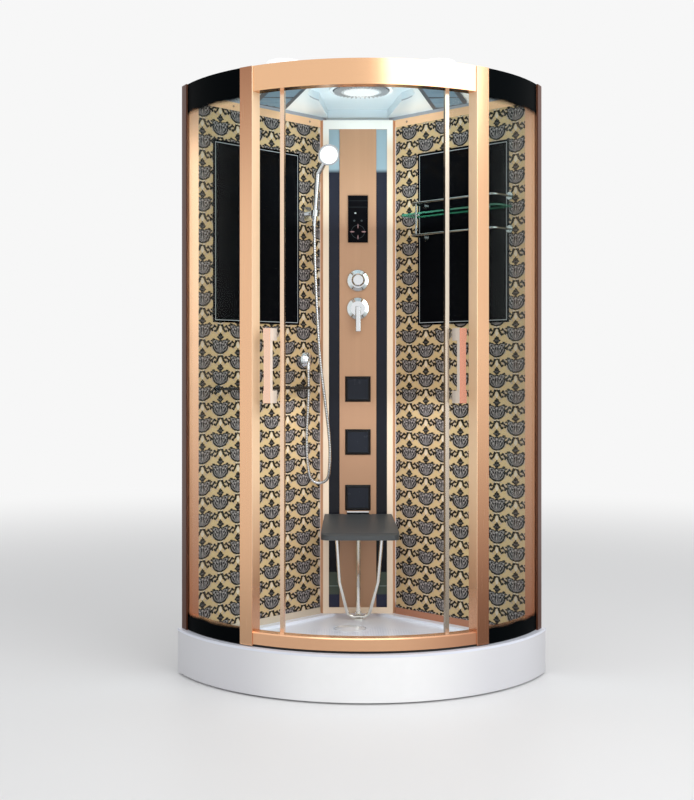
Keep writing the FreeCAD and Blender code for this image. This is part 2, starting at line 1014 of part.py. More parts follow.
def make_dark_glass_panels():
    far = wall_face + dark_glass_skin
    panels = [
        wall_block(s, dark_glass_from, dark_glass_to, wall_face, far, dark_glass_low,
                   dark_glass_high)
        for s in (1, -1)
    ]
    holes = []
    for along in (shelf_rail_from, shelf_rail_to):
        for height in (shelf_guard_height, shelf_towel_height):
            start = along_wall(1, along, wall_face - cut_extra, height)
            end = along_wall(1, along, far + cut_extra, height)
            holes.append(rod(start, end, rosette_radius + free_gap))
    panels[0] = panels[0].cut(Part.makeCompound(holes))
    return group(panels)


def make_column_frame():
    inner = column_half - column_bar
    back = column_face_y + column_depth
    pieces = []
    for s in (1, -1):
        plan = [
            V(s * inner, column_face_y, 0), V(s * (column_half - column_bevel), column_face_y, 0),
            V(s * column_half, column_face_y + column_bevel, 0), V(s * column_half, back, 0),
            V(s * inner, back, 0),
        ]
        pieces.append(prism(plan, ledge_height, walls_top))
    low_band = ledge_height + column_low_band
    top_band = walls_top - column_top_band
    pieces.append(block(-inner, inner, column_face_y, back, ledge_height, low_band))
    pieces.append(block(-inner, inner, column_face_y, back, top_band, walls_top))
    return fused(pieces)


def make_column_mirrors():
    inner = column_half - column_bar
    front = column_face_y + mirror_set_back
    strips = []
    for s in (1, -1):
        low_x, high_x = sorted((s * column_panel_half, s * inner))
        strips.append(block(low_x, high_x, front, front + mirror_skin,
                            ledge_height + column_low_band, walls_top - column_top_band))
    return group(strips)


def panel_front():
    return column_face_y + column_panel_set_back


def make_column_panel():
    front = panel_front()
    back = front + column_panel_skin
    panel = block(-column_panel_half, column_panel_half, front, back,
                  ledge_height + column_low_band, walls_top - column_top_band)
    cuts = []
    for height in (diverter_height, mixer_height):
        start = V(0, front - cut_extra, height)
        cuts.append(rod(start, start + backward * (column_panel_skin + 2 * cut_extra),
                        valve_sleeve_radius + free_gap))
    for height in jet_heights:
        cuts.append(block(-jet_box_half, jet_box_half, front - cut_extra, back + cut_extra,
                          height - jet_box_half, height + jet_box_half))
    half = display_half - display_box_inset
    cuts.append(block(-half, half, front - cut_extra, back + cut_extra,
                      display_low + display_box_inset, display_high - display_box_inset))
    return drilled(panel, cuts)


def make_touch_display():
    front = panel_front()
    face = block(-display_half, display_half, front - display_stand, front,
                 display_low, display_high)
    half = display_half - display_box_inset
    rear = block(-half, half, front, front + display_box_depth,
                 display_low + display_box_inset, display_high - display_box_inset)
    return fused([face, rear])


# Controls


def make_control_flanges():
    flanges = []
    for height, radius in ((diverter_height, diverter_flange_radius),
                           (mixer_height, mixer_flange_radius)):
        bore = stem_radius + running_gap
        profile = [
            (bore, 0), (radius, 0), (radius, flange_edge),
            (radius - flange_edge, flange_edge + flange_stand * flange_shoulder_share),
            (knob_radius + flange_edge, flange_stand), (bore, flange_stand),
        ]
        flanges.append(turned(profile, V(0, panel_front(), height), forward))
    return group(flanges)


def control_face_y():
    return panel_front() - flange_stand - free_gap


def make_diverter_knob():
    profile = [
        (0, -stem_length), (stem_radius, -stem_length), (stem_radius, 0), (knob_radius, 0),
        (knob_radius, knob_stand - knob_round), (knob_radius - knob_round, knob_stand),
        (0, knob_stand),
    ]
    return turned(profile, V(0, control_face_y(), diverter_height), forward)


def make_mixer_hub():
    profile = [
        (0, -stem_length), (stem_radius, -stem_length), (stem_radius, 0), (hub_radius, 0),
        (hub_radius, hub_stand), (0, hub_stand),
    ]
    hub = turned(profile, V(0, control_face_y(), mixer_height), forward)
    front = control_face_y() - hub_stand
    tall = hub_radius + cut_extra
    slot = block(-hub_slot_half, hub_slot_half, front - cut_extra, front + hub_slot_depth,
                 mixer_height - tall, mixer_height + tall)
    pivot = V(0, lever_pivot_y(), mixer_height)
    reach = rightward * (hub_radius + cut_extra)
    hole = rod(pivot - reach, pivot + reach, lever_pin_radius + running_gap)
    return drilled(hub, [slot, hole])


def lever_pivot_y():
    return control_face_y() - lever_pivot_forward


def make_mixer_lever():
    pivot = V(0, lever_pivot_y(), mixer_height)
    eye = rod(pivot - rightward * lever_half, pivot + rightward * lever_half, lever_eye_radius)
    pin_half = rightward * lever_pin_half
    pin = rod(pivot - pin_half, pivot + pin_half, lever_pin_radius)
    back = pivot.y - lever_stand
    arm = block(-lever_half, lever_half, back - lever_thickness, back,
                mixer_height - lever_reach, mixer_height + lever_eye_radius)
    arm = arm.makeFillet(lever_round, [
        e for e in arm.Edges if abs(e.CenterOfMass.y - (back - lever_thickness)) < near_enough
    ])
    neck = block(-lever_half, lever_half, back, pivot.y, mixer_height - lever_eye_radius / 2,
                 mixer_height + lever_eye_radius / 2)
    return fused([eye, pin, arm, neck])


# Jets


def make_jet_frames():
    frames = []
    front = panel_front()
    for height in jet_heights:
        face = block(-jet_half, jet_half, front - jet_stand, front,
                     height - jet_half, height + jet_half)
        face = face.makeChamfer(jet_bevel, [
            e for e in face.Edges if abs(e.CenterOfMass.y - (front - jet_stand)) < near_enough
        ])
        rear = block(-jet_box_half, jet_box_half, front, front + jet_box_depth,
                     height - jet_box_half, height + jet_box_half)
        inside_half = jet_box_half - jet_box_skin
        inside = block(-inside_half, inside_half, front, front + jet_box_depth - jet_box_skin,
                       height - inside_half, height + inside_half)
        window = block(-jet_opening_half, jet_opening_half, front - jet_stand - cut_extra,
                       front + cut_extra, height - jet_opening_half, height + jet_opening_half)
        pivot = V(0, jet_pivot_y(), height)
        reach = rightward * (jet_plate_half + jet_pin_reach + running_gap)
        hole = rod(pivot - reach, pivot + reach, jet_pin_radius + running_gap)
        frames.append(drilled(fused([face, rear]), [inside, window, hole]))
    return group(frames)


def jet_pivot_y():
    return panel_front() - jet_stand + jet_plate_set_back + jet_plate_skin / 2


def make_jet_plate(height):
    middle = jet_pivot_y()
    half_skin = jet_plate_skin / 2
    plate = block(-jet_plate_half, jet_plate_half, middle - half_skin, middle + half_skin,
                  height - jet_plate_half, height + jet_plate_half)
    pivot = V(0, middle, height)
    reach = rightward * (jet_plate_half + jet_pin_reach)
    pin = rod(pivot - reach, pivot + reach, jet_pin_radius)
    return fused([plate, pin])


# Water supply behind the column


def valve_front_y():
    return panel_front() + valve_front_gap


def water_axis_y():
    return valve_front_y() + valve_depth / 2


def make_water_valve():
    front = valve_front_y()
    body = block(-valve_half, valve_half, front, front + valve_depth, valve_low, valve_high)
    pieces = [body]
    for height in (diverter_height, mixer_height):
        start = V(0, panel_front(), height)
        pieces.append(rod(start, V(0, front, height), valve_sleeve_radius))
    axis = V(0, water_axis_y(), mixer_height)
    half_pipe = rightward * (inlet_spread + inlet_pipe_radius)
    pieces.append(rod(axis - half_pipe, axis + half_pipe, inlet_pipe_radius))
    for s in (1, -1):
        start = axis + rightward * (s * inlet_spread)
        end = start + backward * (inlet_pipe_radius + inlet_length)
        collar_end = start + backward * (inlet_pipe_radius + inlet_collar_length)
        pieces.append(rod(start, end, inlet_radius))
        pieces.append(rod(start, collar_end, inlet_collar_radius))
    bores = []
    for height in (diverter_height, mixer_height):
        start = V(0, panel_front() - cut_extra, height)
        end_y = control_face_y() + stem_length + free_gap
        bores.append(rod(start, V(0, end_y, height), stem_radius + running_gap))
    return drilled(fused(pieces), bores)


def make_water_hoses():
    y = water_axis_y()
    feed_low = V(0, y, manifold_low)
    feed = rod(feed_low, V(0, y, valve_low), hose_radius)
    branches = []
    for height in jet_heights:
        branches.append(rod(V(0, panel_front() + jet_box_depth, height), V(0, y, height),
                            hose_radius))
    wall_along = wall_place(-1, outlet_along)
    outlet_back = along_wall(-1, wall_along, outlet_feed_depth, outlet_height)
    turn_at = V(-outlet_feed_x, y, outlet_height)
    side_feed = bent_tube([V(0, y, outlet_height), turn_at, outlet_back], hose_radius,
                          hose_radius * 2)
    stub = rod(outlet_back, along_wall(-1, wall_along, panel_back, outlet_height), hose_radius)
    half_valve = V(valve_half, y, valve_high - riser_bend)
    riser = bent_tube([
        half_valve, V(riser_x + riser_bend, y, valve_high - riser_bend),
        V(riser_x + riser_bend, y, riser_top), V(crown_x, crown_y, riser_top),
        V(crown_x, crown_y, roof_crown),
    ], hose_radius, riser_bend / 2)
    return group([fused([feed] + branches + [side_feed, stub]), riser])


# Roof


def roof_outline(radius, inset, low, high, back):
    """Roof slab: the cabin's outline with its back corner cut off behind the column."""
    slab = quadrant(radius, inset, low, high)
    far = tray_side
    return slab.cut(block(-far, far, back, back + far, low - cut_extra, high + cut_extra))


def crown_body(step, low):
    """Raised middle of the roof; step draws it in by the skin."""
    high = roof_crown - step
    dome = Part.makeCylinder(crown_radius - step, high - low, V(crown_x, crown_y, low))
    back = roof_back_y - roof_skin - step
    plan = [
        V(-trough_half_front + step, crown_y, 0), V(trough_half_front - step, crown_y, 0),
        V(trough_half_back - step, back, 0), V(-trough_half_back + step, back, 0),
    ]
    return [dome, prism(plan, low, high)]


def pod_body(side, step, low):
    """Rounded housing on the roof, above one of its vents."""
    base = pod_base_radius - step
    top = pod_top_radius - step
    shoulder = Part.makeCone(base, top * pod_shoulder_share, pod_shoulder_height - step - low,
                             V(side * pod_x, pod_y, low))
    cap = Part.makeCone(top * pod_shoulder_share, top, pod_top - pod_shoulder_height,
                        V(side * pod_x, pod_y, pod_shoulder_height - step))
    return [shoulder, cap]


def vent_plan(side, inset_share=0):
    """Corners of a vent, drawn in towards its middle by a share."""
    middle_x = sum(x for x, y in vent_outline) / len(vent_outline)
    middle_y = sum(y for x, y in vent_outline) / len(vent_outline)
    return [
        V(side * (x + (middle_x - x) * inset_share), y + (middle_y - y) * inset_share, 0)
        for x, y in vent_outline
    ]


def make_roof_shell():
    plate_high = roof_ceiling + roof_skin
    inside_low = walls_top - cut_extra
    plate_radius = rail_inner_radius - free_gap
    rim_top = roof_rim_high + cut_extra
    rim = roof_outline(roof_outer_radius, roof_wall_inset, beam_high, roof_rim_high, roof_back_y)
    rim_cut = roof_outline(plate_radius - roof_skin, roof_wall_inset + roof_skin,
                           beam_high - cut_extra, rim_top, roof_back_y - roof_skin)
    skirt = roof_outline(plate_radius, roof_wall_inset, walls_top, roof_rim_high, roof_back_y)
    skirt_cut = roof_outline(plate_radius - roof_skin, roof_wall_inset + roof_skin, plate_high,
                             rim_top, roof_back_y - roof_skin)
    plate_cut = roof_outline(plate_radius - roof_skin, frame_front, inside_low, roof_ceiling,
                             roof_back_y - roof_skin)
    outer = [skirt.cut(skirt_cut), rim.cut(rim_cut)] + crown_body(0, roof_ceiling)
    inner = [plate_cut] + crown_body(roof_skin, inside_low)
    for s in (1, -1):
        outer += pod_body(s, 0, roof_ceiling)
        window = prism(vent_plan(s), inside_low, pod_top)
        inner += [p.common(window) for p in pod_body(s, roof_skin, inside_low)]
        ends = sorted((s * front_end_angle, s * (front_end_angle + 90)))
        inner.append(sector(rail_inner_radius - free_gap, tray_radius, ends[0], ends[1],
                            walls_top, rim_top))
    neck = Part.makeCylinder(rain_neck_radius, roof_crown, V(crown_x, crown_y, walls_top))
    return drilled(fused(outer), inner + [neck])


def make_roof_frames():
    frames = []
    for s in (1, -1):
        outer = prism(vent_plan(s), roof_ceiling - vent_skin, roof_ceiling)
        window = vent_windows(s, roof_ceiling - vent_skin - cut_extra, roof_ceiling + cut_extra)
        frames.append(drilled(outer, window))
    return group(frames)


def between(start, end, share):
    return start + (end - start) * share


def vent_windows(side, low, high, gap=0):
    """Two openings of a vent: the louvred light to the back, the grille to the front."""
    back_in, back_out, front_out, front_in = vent_plan(side)
    width = (back_out - back_in).Length
    length = (front_in - back_in).Length
    across = (vent_bar + gap) / width
    ends = (vent_bar + gap) / length
    split = (vent_bar / 2 + gap) / length
    windows = []
    for near, far in ((ends, vent_split_share - split), (vent_split_share + split, 1 - ends)):
        corners = []
        for share, start in ((near, 0), (far, 0), (far, 1), (near, 1)):
            inner_point = between(back_in, front_in, share)
            outer_point = between(back_out, front_out, share)
            place = across if start == 0 else 1 - across
            corners.append(between(inner_point, outer_point, place))
        windows.append(prism(corners, low, high))
    return windows


def make_roof_inserts():
    inserts = []
    for s in (1, -1):
        low = roof_ceiling - vent_skin
        for sheet in vent_windows(s, low + vent_slat_height, roof_ceiling):
            inserts.append(sheet)
        for window in vent_windows(s, low, low + vent_slat_height):
            box = window.BoundBox
            step = box.YLength / (vent_slat_count * 2 + 1)
            slats = [
                block(box.XMin, box.XMax, box.YMin + step * (2 * k + 1),
                      box.YMin + step * (2 * k + 2), low, low + vent_slat_height)
                for k in range(vent_slat_count)
            ]
            pieces = window.common(group(slats)).Solids
            sheet = inserts.pop(-2)
            inserts.append(fused([sheet] + pieces))
    return group(inserts)


def make_rain_head():
    place = V(crown_x, crown_y, rain_low)
    plate = Part.makeCylinder(rain_radius, rain_plate, place)
    hub = Part.makeCylinder(rain_hub_radius, rain_fin_height, place - up * rain_fin_height)
    neck_high = roof_crown - rain_low
    neck = Part.makeCylinder(rain_neck_radius - free_gap, neck_high, place)
    fins = []
    for k in range(rain_fin_count):
        fin = block(rain_hub_radius - cut_extra, rain_hub_radius + rain_fin_length,
                    -rain_fin_width / 2, rain_fin_width / 2, -rain_fin_height, 0)
        fin.rotate(V(0, 0, 0), up, 360 * k / rain_fin_count)
        fin.translate(place)
        fins.append(fin)
    return fused([plate, hub, neck] + fins)


# Hand shower, bracket, outlet and hose


def make_hose_outlet():
    along = wall_place(-1, outlet_along)
    place = along_wall(-1, along, wall_face, outlet_height)
    profile = [(0, 0)]
    for k in range(outlet_steps + 1):
        turn = math.radians(90 * k / outlet_steps)
        profile.append((outlet_radius * math.cos(turn), outlet_stand * math.sin(turn)))
    profile[-1] = (0, outlet_stand)
    dome = turned(profile, place, from_wall(-1))
    nozzle_at = place + from_wall(-1) * outlet_nozzle_forward
    nozzle = rod(nozzle_at, V(nozzle_at.x, nozzle_at.y, outlet_nozzle_low), outlet_nozzle_radius)
    return fused([dome, nozzle])


def grip_at(height):
    share = (height - handle_foot.z) / (handle_neck.z - handle_foot.z)
    return between(handle_foot, handle_neck, share)


def make_handset():
    way = handle_neck - handle_foot
    grip = Part.makeCone(grip_foot_radius, grip_neck_radius, way.Length, handle_foot, way)
    along = way.normalize()
    hose_end = hose_route[0].z + nut_hose_gap
    under = block(-tray_side, tray_side, -tray_side, tray_side, 0, hose_end)
    nut = rod(handle_foot - along * (nut_length + nut_radius), handle_foot, nut_radius).cut(under)
    facing = V(head_facing.x, head_facing.y, head_facing.z).normalize()
    head = turned([
        (0, -head_depth), (head_rear_radius, -head_depth), (head_radius, -head_face_depth),
        (head_radius, 0), (0, 0),
    ], head_centre, facing)
    rear = head_centre - facing * (head_depth - head_face_depth)
    neck = rod(handle_neck - along * cut_extra, rear, grip_neck_radius)
    joint = Part.makeSphere(grip_neck_radius, handle_neck)
    return fused([grip, nut, head, neck, joint])


def make_handset_bracket():
    along = wall_place(-1, bracket_along)
    low = bracket_height - bracket_half_height
    high = bracket_height + bracket_half_height
    plate = wall_block(-1, along - bracket_half_width, along + bracket_half_width,
                       wall_face, wall_face + bracket_skin, low, high)
    middle = grip_at(bracket_height)
    start = along_wall(-1, along, wall_face + bracket_skin / 2, bracket_height)
    flat_middle = V(middle.x, middle.y, bracket_height)
    arm = rod(start, flat_middle, bracket_arm_half)
    way = (handle_neck - handle_foot).normalize()
    ring = rod(middle - way * bracket_ring_half, middle + way * bracket_ring_half,
               bracket_ring_radius)
    long_way = way * (bracket_ring_half + cut_extra)
    foot_share = (grip_neck_radius - grip_foot_radius) / (handle_neck - handle_foot).Length
    middle_radius = grip_foot_radius + foot_share * (middle - handle_foot).Length
    spread = foot_share * long_way.Length
    bore = Part.makeCone(
        middle_radius - spread + grip_ring_gap, middle_radius + spread + grip_ring_gap,
        2 * long_way.Length, middle - long_way, way,
    )
    return drilled(fused([plate, arm, ring]), [bore])


def make_shower_hose():
    tube = bent_tube(hose_route, hose_diameter / 2)
    path, radii = bent_path(hose_route)
    print("hose length", round(path.Length, 1), "bend radii", [round(r) for r in radii])
    print("hose volume", round(tube.Volume), "section times length",
          round(math.pi * (hose_diameter / 2) ** 2 * path.Length))
    return tube


# Towel bar and shelf


def wall_rosette(side, along, height):
    start = along_wall(side, along, wall_face, height)
    return rod(start, start + from_wall(side) * rosette_height, rosette_radius)


def make_towel_bar():
    reach = wall_face + bar_stand
    pieces = [rod(along_wall(-1, bar_from, reach, bar_height),
                  along_wall(-1, bar_to, reach, bar_height), bar_radius)]
    for along in (bar_from + bar_post_inset, bar_to - bar_post_inset):
        pieces.append(rod(along_wall(-1, along, wall_face, bar_height),
                          along_wall(-1, along, reach, bar_height), bar_post_radius))
        pieces.append(wall_rosette(-1, along, bar_height))
    return fused(pieces)


def make_glass_shelf():
    plate = wall_block(1, shelf_from, shelf_to, shelf_near, shelf_far, shelf_height,
                       shelf_height + shelf_skin)
    far_edges = [
        e for e in upright_edges(plate)
        if min(e.CenterOfMass.distanceToPoint(
            along_wall(1, a, shelf_far, shelf_height + shelf_skin / 2))
            for a in (shelf_from, shelf_to)) < near_enough
    ]
    return plate.makeFillet(shelf_corner, far_edges)


def make_shelf_rails():
    reach = wall_face + shelf_rail_stand
    arm_high = shelf_height - shelf_arm_drop
    arm_low = arm_high - shelf_arm_thick
    pieces = []
    for height in (shelf_guard_height, shelf_towel_height):
        points = [
            along_wall(1, shelf_rail_from, wall_face, height),
            along_wall(1, shelf_rail_from, reach, height),
            along_wall(1, shelf_rail_to, reach, height),
            along_wall(1, shelf_rail_to, wall_face, height),
        ]
        pieces.append(bent_tube(points, shelf_rail_radius, shelf_bend))
        for along in (shelf_rail_from, shelf_rail_to):
            pieces.append(wall_rosette(1, along, height))
    for along, way in ((shelf_rail_from, 1), (shelf_rail_to, -1)):
        post_at = along + way * (shelf_bend + shelf_rail_radius * 2)
        pieces.append(rod(along_wall(1, post_at, reach, shelf_towel_height),
                          along_wall(1, post_at, reach, shelf_guard_height), shelf_post_radius))
        pad_at = along_wall(1, post_at, shelf_far - shelf_pad_radius,
                            shelf_height - shelf_pad_height)
        pieces.append(Part.makeCylinder(shelf_pad_radius, shelf_pad_height, pad_at))
        pieces.append(wall_block(1, post_at - shelf_arm_half, post_at + shelf_arm_half,
                                 shelf_far - shelf_pad_radius, reach, arm_low, arm_high))
    return fused(pieces)


# Fold-up seat


def make_seat_hinge():
    face = panel_front()
    plate = block(-hinge_plate_half, hinge_plate_half, face - hinge_plate_skin, face,
                  hinge_plate_low, hinge_plate_high)
    axis = V(0, hinge_y, hinge_z)
    barrel_half = rightward * hinge_knuckle_half
    barrel = rod(axis - barrel_half, axis + barrel_half, hinge_knuckle_radius)
    web = block(-hinge_knuckle_half, hinge_knuckle_half, hinge_y, face - hinge_plate_skin,
                hinge_z - hinge_knuckle_radius, hinge_z + hinge_knuckle_radius)
    pin_half = rightward * hinge_pin_half
    pin = rod(axis - pin_half, axis + pin_half, hinge_pin_radius)
    return fused([plate, barrel, web, pin])


def seat_side_view():
    """Outline of the seat from the side: a shallow dish with a nose that turns down."""
    depth = seat_back_y - seat_front_y
    drop = seat_top - seat_crease
    dish_y = seat_back_y - depth * seat_dish_share
    dish_z = seat_top - drop * seat_dish_drop_share
    back_start = hinge_y - hinge_knuckle_radius - seat_ear_gap * 2
    return [
        V(0, back_start, seat_top), V(0, dish_y, dish_z - seat_edge_round),
        V(0, seat_front_y + seat_skin, seat_crease + seat_edge_round),
        V(0, seat_front_y, seat_crease - seat_edge_round), V(0, seat_front_y, seat_lip),
        V(0, seat_front_y + seat_skin, seat_lip), V(0, dish_y, dish_z - seat_skin),
        V(0, back_start, seat_top - seat_skin),
    ]


def make_seat():
    outline = seat_side_view()
    side_face = Part.Face(Part.makePolygon(outline + outline[:1]))
    side_face.translate(rightward * -seat_front_half)
    body = side_face.extrude(rightward * (2 * seat_front_half))
    plan = prism([
        V(-seat_back_half, seat_back_y, 0), V(seat_back_half, seat_back_y, 0),
        V(seat_front_half, seat_front_y, 0), V(-seat_front_half, seat_front_y, 0),
    ], seat_lip - seat_skin, seat_top + seat_skin)
    plan = plan.makeFillet(seat_corner, upright_edges(plan))
    slab = body.common(plan)
    back_start = hinge_y - hinge_knuckle_radius - seat_ear_gap * 2
    notch = block(-seat_notch_half, seat_notch_half, back_start - seat_notch_depth,
                  seat_back_y, seat_lip, seat_top + seat_skin)
    slab = slab.cut(notch)
    axis = V(0, hinge_y, hinge_z)
    ears = []
    holes = []
    for s in (1, -1):
        inner = hinge_plate_half + seat_ear_gap
        low_x, high_x = sorted((s * inner, s * (inner + seat_ear_width)))
        eye = rod(V(low_x, hinge_y, hinge_z), V(high_x, hinge_y, hinge_z), hinge_knuckle_radius)
        tongue = block(low_x, high_x, back_start - seat_notch_depth - seat_ear_width, hinge_y,
                       hinge_z - hinge_knuckle_radius, hinge_z + hinge_knuckle_radius / 2)
        ears += [eye, tongue]
    pin_half = rightward * (hinge_pin_half + cut_extra)
    holes.append(rod(axis - pin_half, axis + pin_half, hinge_pin_radius + running_gap))
    inner = loop_ear_half + loop_radius
    for s in (1, -1):
        for edge in (-1, 1):
            near = s * loop_top.x + edge * (loop_radius + loop_ear_gap)
            far = near + edge * loop_ear_half
            low_x, high_x = sorted((near, far))
            ears.append(block(low_x, high_x, loop_top.y - inner, loop_top.y + inner,
                              loop_top.z - loop_pin_radius * 2,
                              seat_underside(loop_top.y) + seat_skin / 2))
    reach = rightward * (loop_top.x + inner + loop_ear_half)
    holes.append(rod(loop_top - rightward * loop_top.x - reach,
                     loop_top - rightward * loop_top.x + reach,
                     loop_pin_radius + running_gap))
    return drilled(fused([slab] + ears), holes)


def seat_underside(y):
    """Height of the seat's underside at a point of its depth."""
    under = seat_side_view()[5:]
    for low, high in zip(under, under[1:]):
        if low.y <= y <= high.y:
            return between(low, high, (y - low.y) / (high.y - low.y)).z
    return under[-1].z


def make_seat_loop():
    points = []
    for s in (1, -1):
        half = [
            V(s * loop_top.x, loop_top.y, loop_top.z),
            V(s * loop_bend_point.x, loop_bend_point.y, loop_bend_point.z),
            V(s * loop_foot.x, loop_foot.y, loop_foot.z),
        ]
        points = points + half if s == 1 else points + half[::-1]
    tube = bent_tube(points, loop_radius, loop_round)
    pieces = [tube]
    for s in (1, -1):
        middle = V(s * loop_top.x, loop_top.y, loop_top.z)
        half = rightward * (loop_radius + loop_ear_gap + loop_ear_half)
        pieces.append(rod(middle - half, middle + half, loop_pin_radius))
        pieces.append(Part.makeSphere(loop_radius, middle))
    return fused(pieces)


def make_seat_post():
    foot = Part.makeCylinder(post_foot_radius, post_foot_height, V(0, post_y, floor_height))
    cap = Part.makeCylinder(post_cap_radius, post_cap_height, V(0, post_y, floor_height))
    top = seat_underside(post_y - post_radius) - post_seat_gap
    tube = Part.makeCylinder(post_radius, top - floor_height, V(0, post_y, floor_height))
    return fused([foot, cap, tube])


rollers = {}
for door_side, door_name in ((-1, "left"), (1, "right")):
    for wheel_place, wheel_angle in zip(("lead", "trail"), door_bolt_angles()):
        rollers["roller_" + door_name + "_" + wheel_place] = make_roller(door_side, wheel_angle)

parts = {
    "shower_tray": make_shower_tray(),
    "front_apron": make_front_apron(),
    "support_frame": make_support_frame(),
    "levelling_feet": make_levelling_feet(),
    "drain_trap": make_drain_trap(),
    "drain_cover": make_drain_cover(),
    "bottom_rail": make_bottom_rail(),
    "rail_gasket": make_rail_gasket(),
    "header_rail": make_header_rail(),
    "header_cover": make_header_cover(),
    "door_posts": make_door_posts(),
    "wall_profiles": make_wall_profiles(),
    "fixed_glass_left": make_fixed_glass(-1),
    "fixed_glass_right": make_fixed_glass(1),
    "door_glass_left": make_door_glass(-1),
    "door_glass_right": make_door_glass(1),
    "door_edge_left": make_door_edge(-1),
    "door_edge_right": make_door_edge(1),
    "handle_left": make_handle(-1),
    "handle_right": make_handle(1),
    "carriers_left": make_carriers(-1),
    "carriers_right": make_carriers(1),
    "door_stops": make_door_stops(),
    "back_panel_left": make_back_panel(-1),
    "back_panel_right": make_back_panel(1),
    "wall_frames": make_wall_frames(),
    "dark_glass_panels": make_dark_glass_panels(),
    "column_frame": make_column_frame(),
    "column_mirrors": make_column_mirrors(),
    "column_panel": make_column_panel(),
    "touch_display": make_touch_display(),
    "control_flanges": make_control_flanges(),
    "diverter_knob": make_diverter_knob(),
    "mixer_hub": make_mixer_hub(),
    "mixer_lever": make_mixer_lever(),
    "jet_frames": make_jet_frames(),
    "jet_plate_top": make_jet_plate(jet_heights[0]),
    "jet_plate_middle": make_jet_plate(jet_heights[1]),
    "jet_plate_bottom": make_jet_plate(jet_heights[2]),
    "water_valve": make_water_valve(),
    "water_hoses": make_water_hoses(),
    "roof_shell": make_roof_shell(),
    "roof_frames": make_roof_frames(),
    "roof_inserts": make_roof_inserts(),
    "rain_head": make_rain_head(),
    "hose_outlet": make_hose_outlet(),
    "handset_bracket": make_handset_bracket(),
    "handset": make_handset(),
    "shower_hose": make_shower_hose(),
    "towel_bar": make_towel_bar(),
    "glass_shelf": make_glass_shelf(),
    "shelf_rails": make_shelf_rails(),
    "seat_hinge": make_seat_hinge(),
    "seat": make_seat(),
    "seat_loop": make_seat_loop(),
    "seat_post": make_seat_post(),
}
parts.update(rollers)

os.makedirs("parts", exist_ok=True)
for name, shape in parts.items():
    shape.exportStep("parts/" + name + ".step")
    box = shape.BoundBox
    print(name, len(shape.Solids), "valid" if shape.isValid() else "NOT VALID",
          [round(v, 1) for v in (box.XMin, box.YMin, box.ZMin, box.XMax, box.YMax, box.ZMax)])
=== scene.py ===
# %% [markdown]
# # A corner shower cabin with a damask wall
# The cabin's solids come in as a fixed frame: tray, glass, profiles, column and fittings.
# This script gives each of them its finish, and adds what is softer or finer than a solid:
# the hanging hose, the spray nozzles, the marks on the display and the screws.

# %% Load the frame
import bpy, bmesh, math
from mathutils import Matrix, Vector


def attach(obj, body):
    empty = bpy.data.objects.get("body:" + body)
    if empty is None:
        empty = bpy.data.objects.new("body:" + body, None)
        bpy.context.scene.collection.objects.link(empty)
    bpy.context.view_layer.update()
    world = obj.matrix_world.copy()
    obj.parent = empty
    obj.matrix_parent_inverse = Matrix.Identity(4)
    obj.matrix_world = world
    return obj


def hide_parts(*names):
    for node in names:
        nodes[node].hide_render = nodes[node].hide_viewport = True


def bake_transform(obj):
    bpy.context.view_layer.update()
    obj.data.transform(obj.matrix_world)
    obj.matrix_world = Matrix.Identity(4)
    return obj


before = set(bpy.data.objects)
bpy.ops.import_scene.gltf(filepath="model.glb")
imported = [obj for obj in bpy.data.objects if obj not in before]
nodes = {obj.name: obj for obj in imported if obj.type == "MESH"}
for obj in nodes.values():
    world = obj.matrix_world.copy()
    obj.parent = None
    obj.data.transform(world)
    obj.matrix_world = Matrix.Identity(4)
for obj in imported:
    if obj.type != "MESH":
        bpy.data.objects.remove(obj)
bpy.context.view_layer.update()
# the corner of the two walls, and the centre of the doors' arc, both on the Y axis
back_corner = 0.522424
arc_centre = back_corner - 0.344848

# %% [markdown]
# ## The camera
# The photograph was taken from straight ahead, at chest height, with a normal lens. The
# camera stays level, as the upright edges stay parallel, and a small lens shift puts the
# cabin where it stands in the frame.

# %% Camera
scene = bpy.context.scene
lens = bpy.data.cameras.new("camera")
lens.lens = 54.9
lens.sensor_width = 36
lens.shift_x = 0.0318
lens.shift_y = -0.037
camera = bpy.data.objects.new("camera", lens)
camera.location = (-0.1388, -4.3316, 1.0453)
camera.rotation_euler = (math.radians(90), 0, 0)
scene.collection.objects.link(camera)
scene.camera = camera
scene.view_settings.view_transform = "Standard"
print("camera at", tuple(camera.location))

# %% [markdown]
# ## Shader sums written as sums
# A finish is easier to read as an expression than as a list of nodes. `Ink` wraps one
# output of a node: sums with it add Math nodes, and `node` adds any other node.

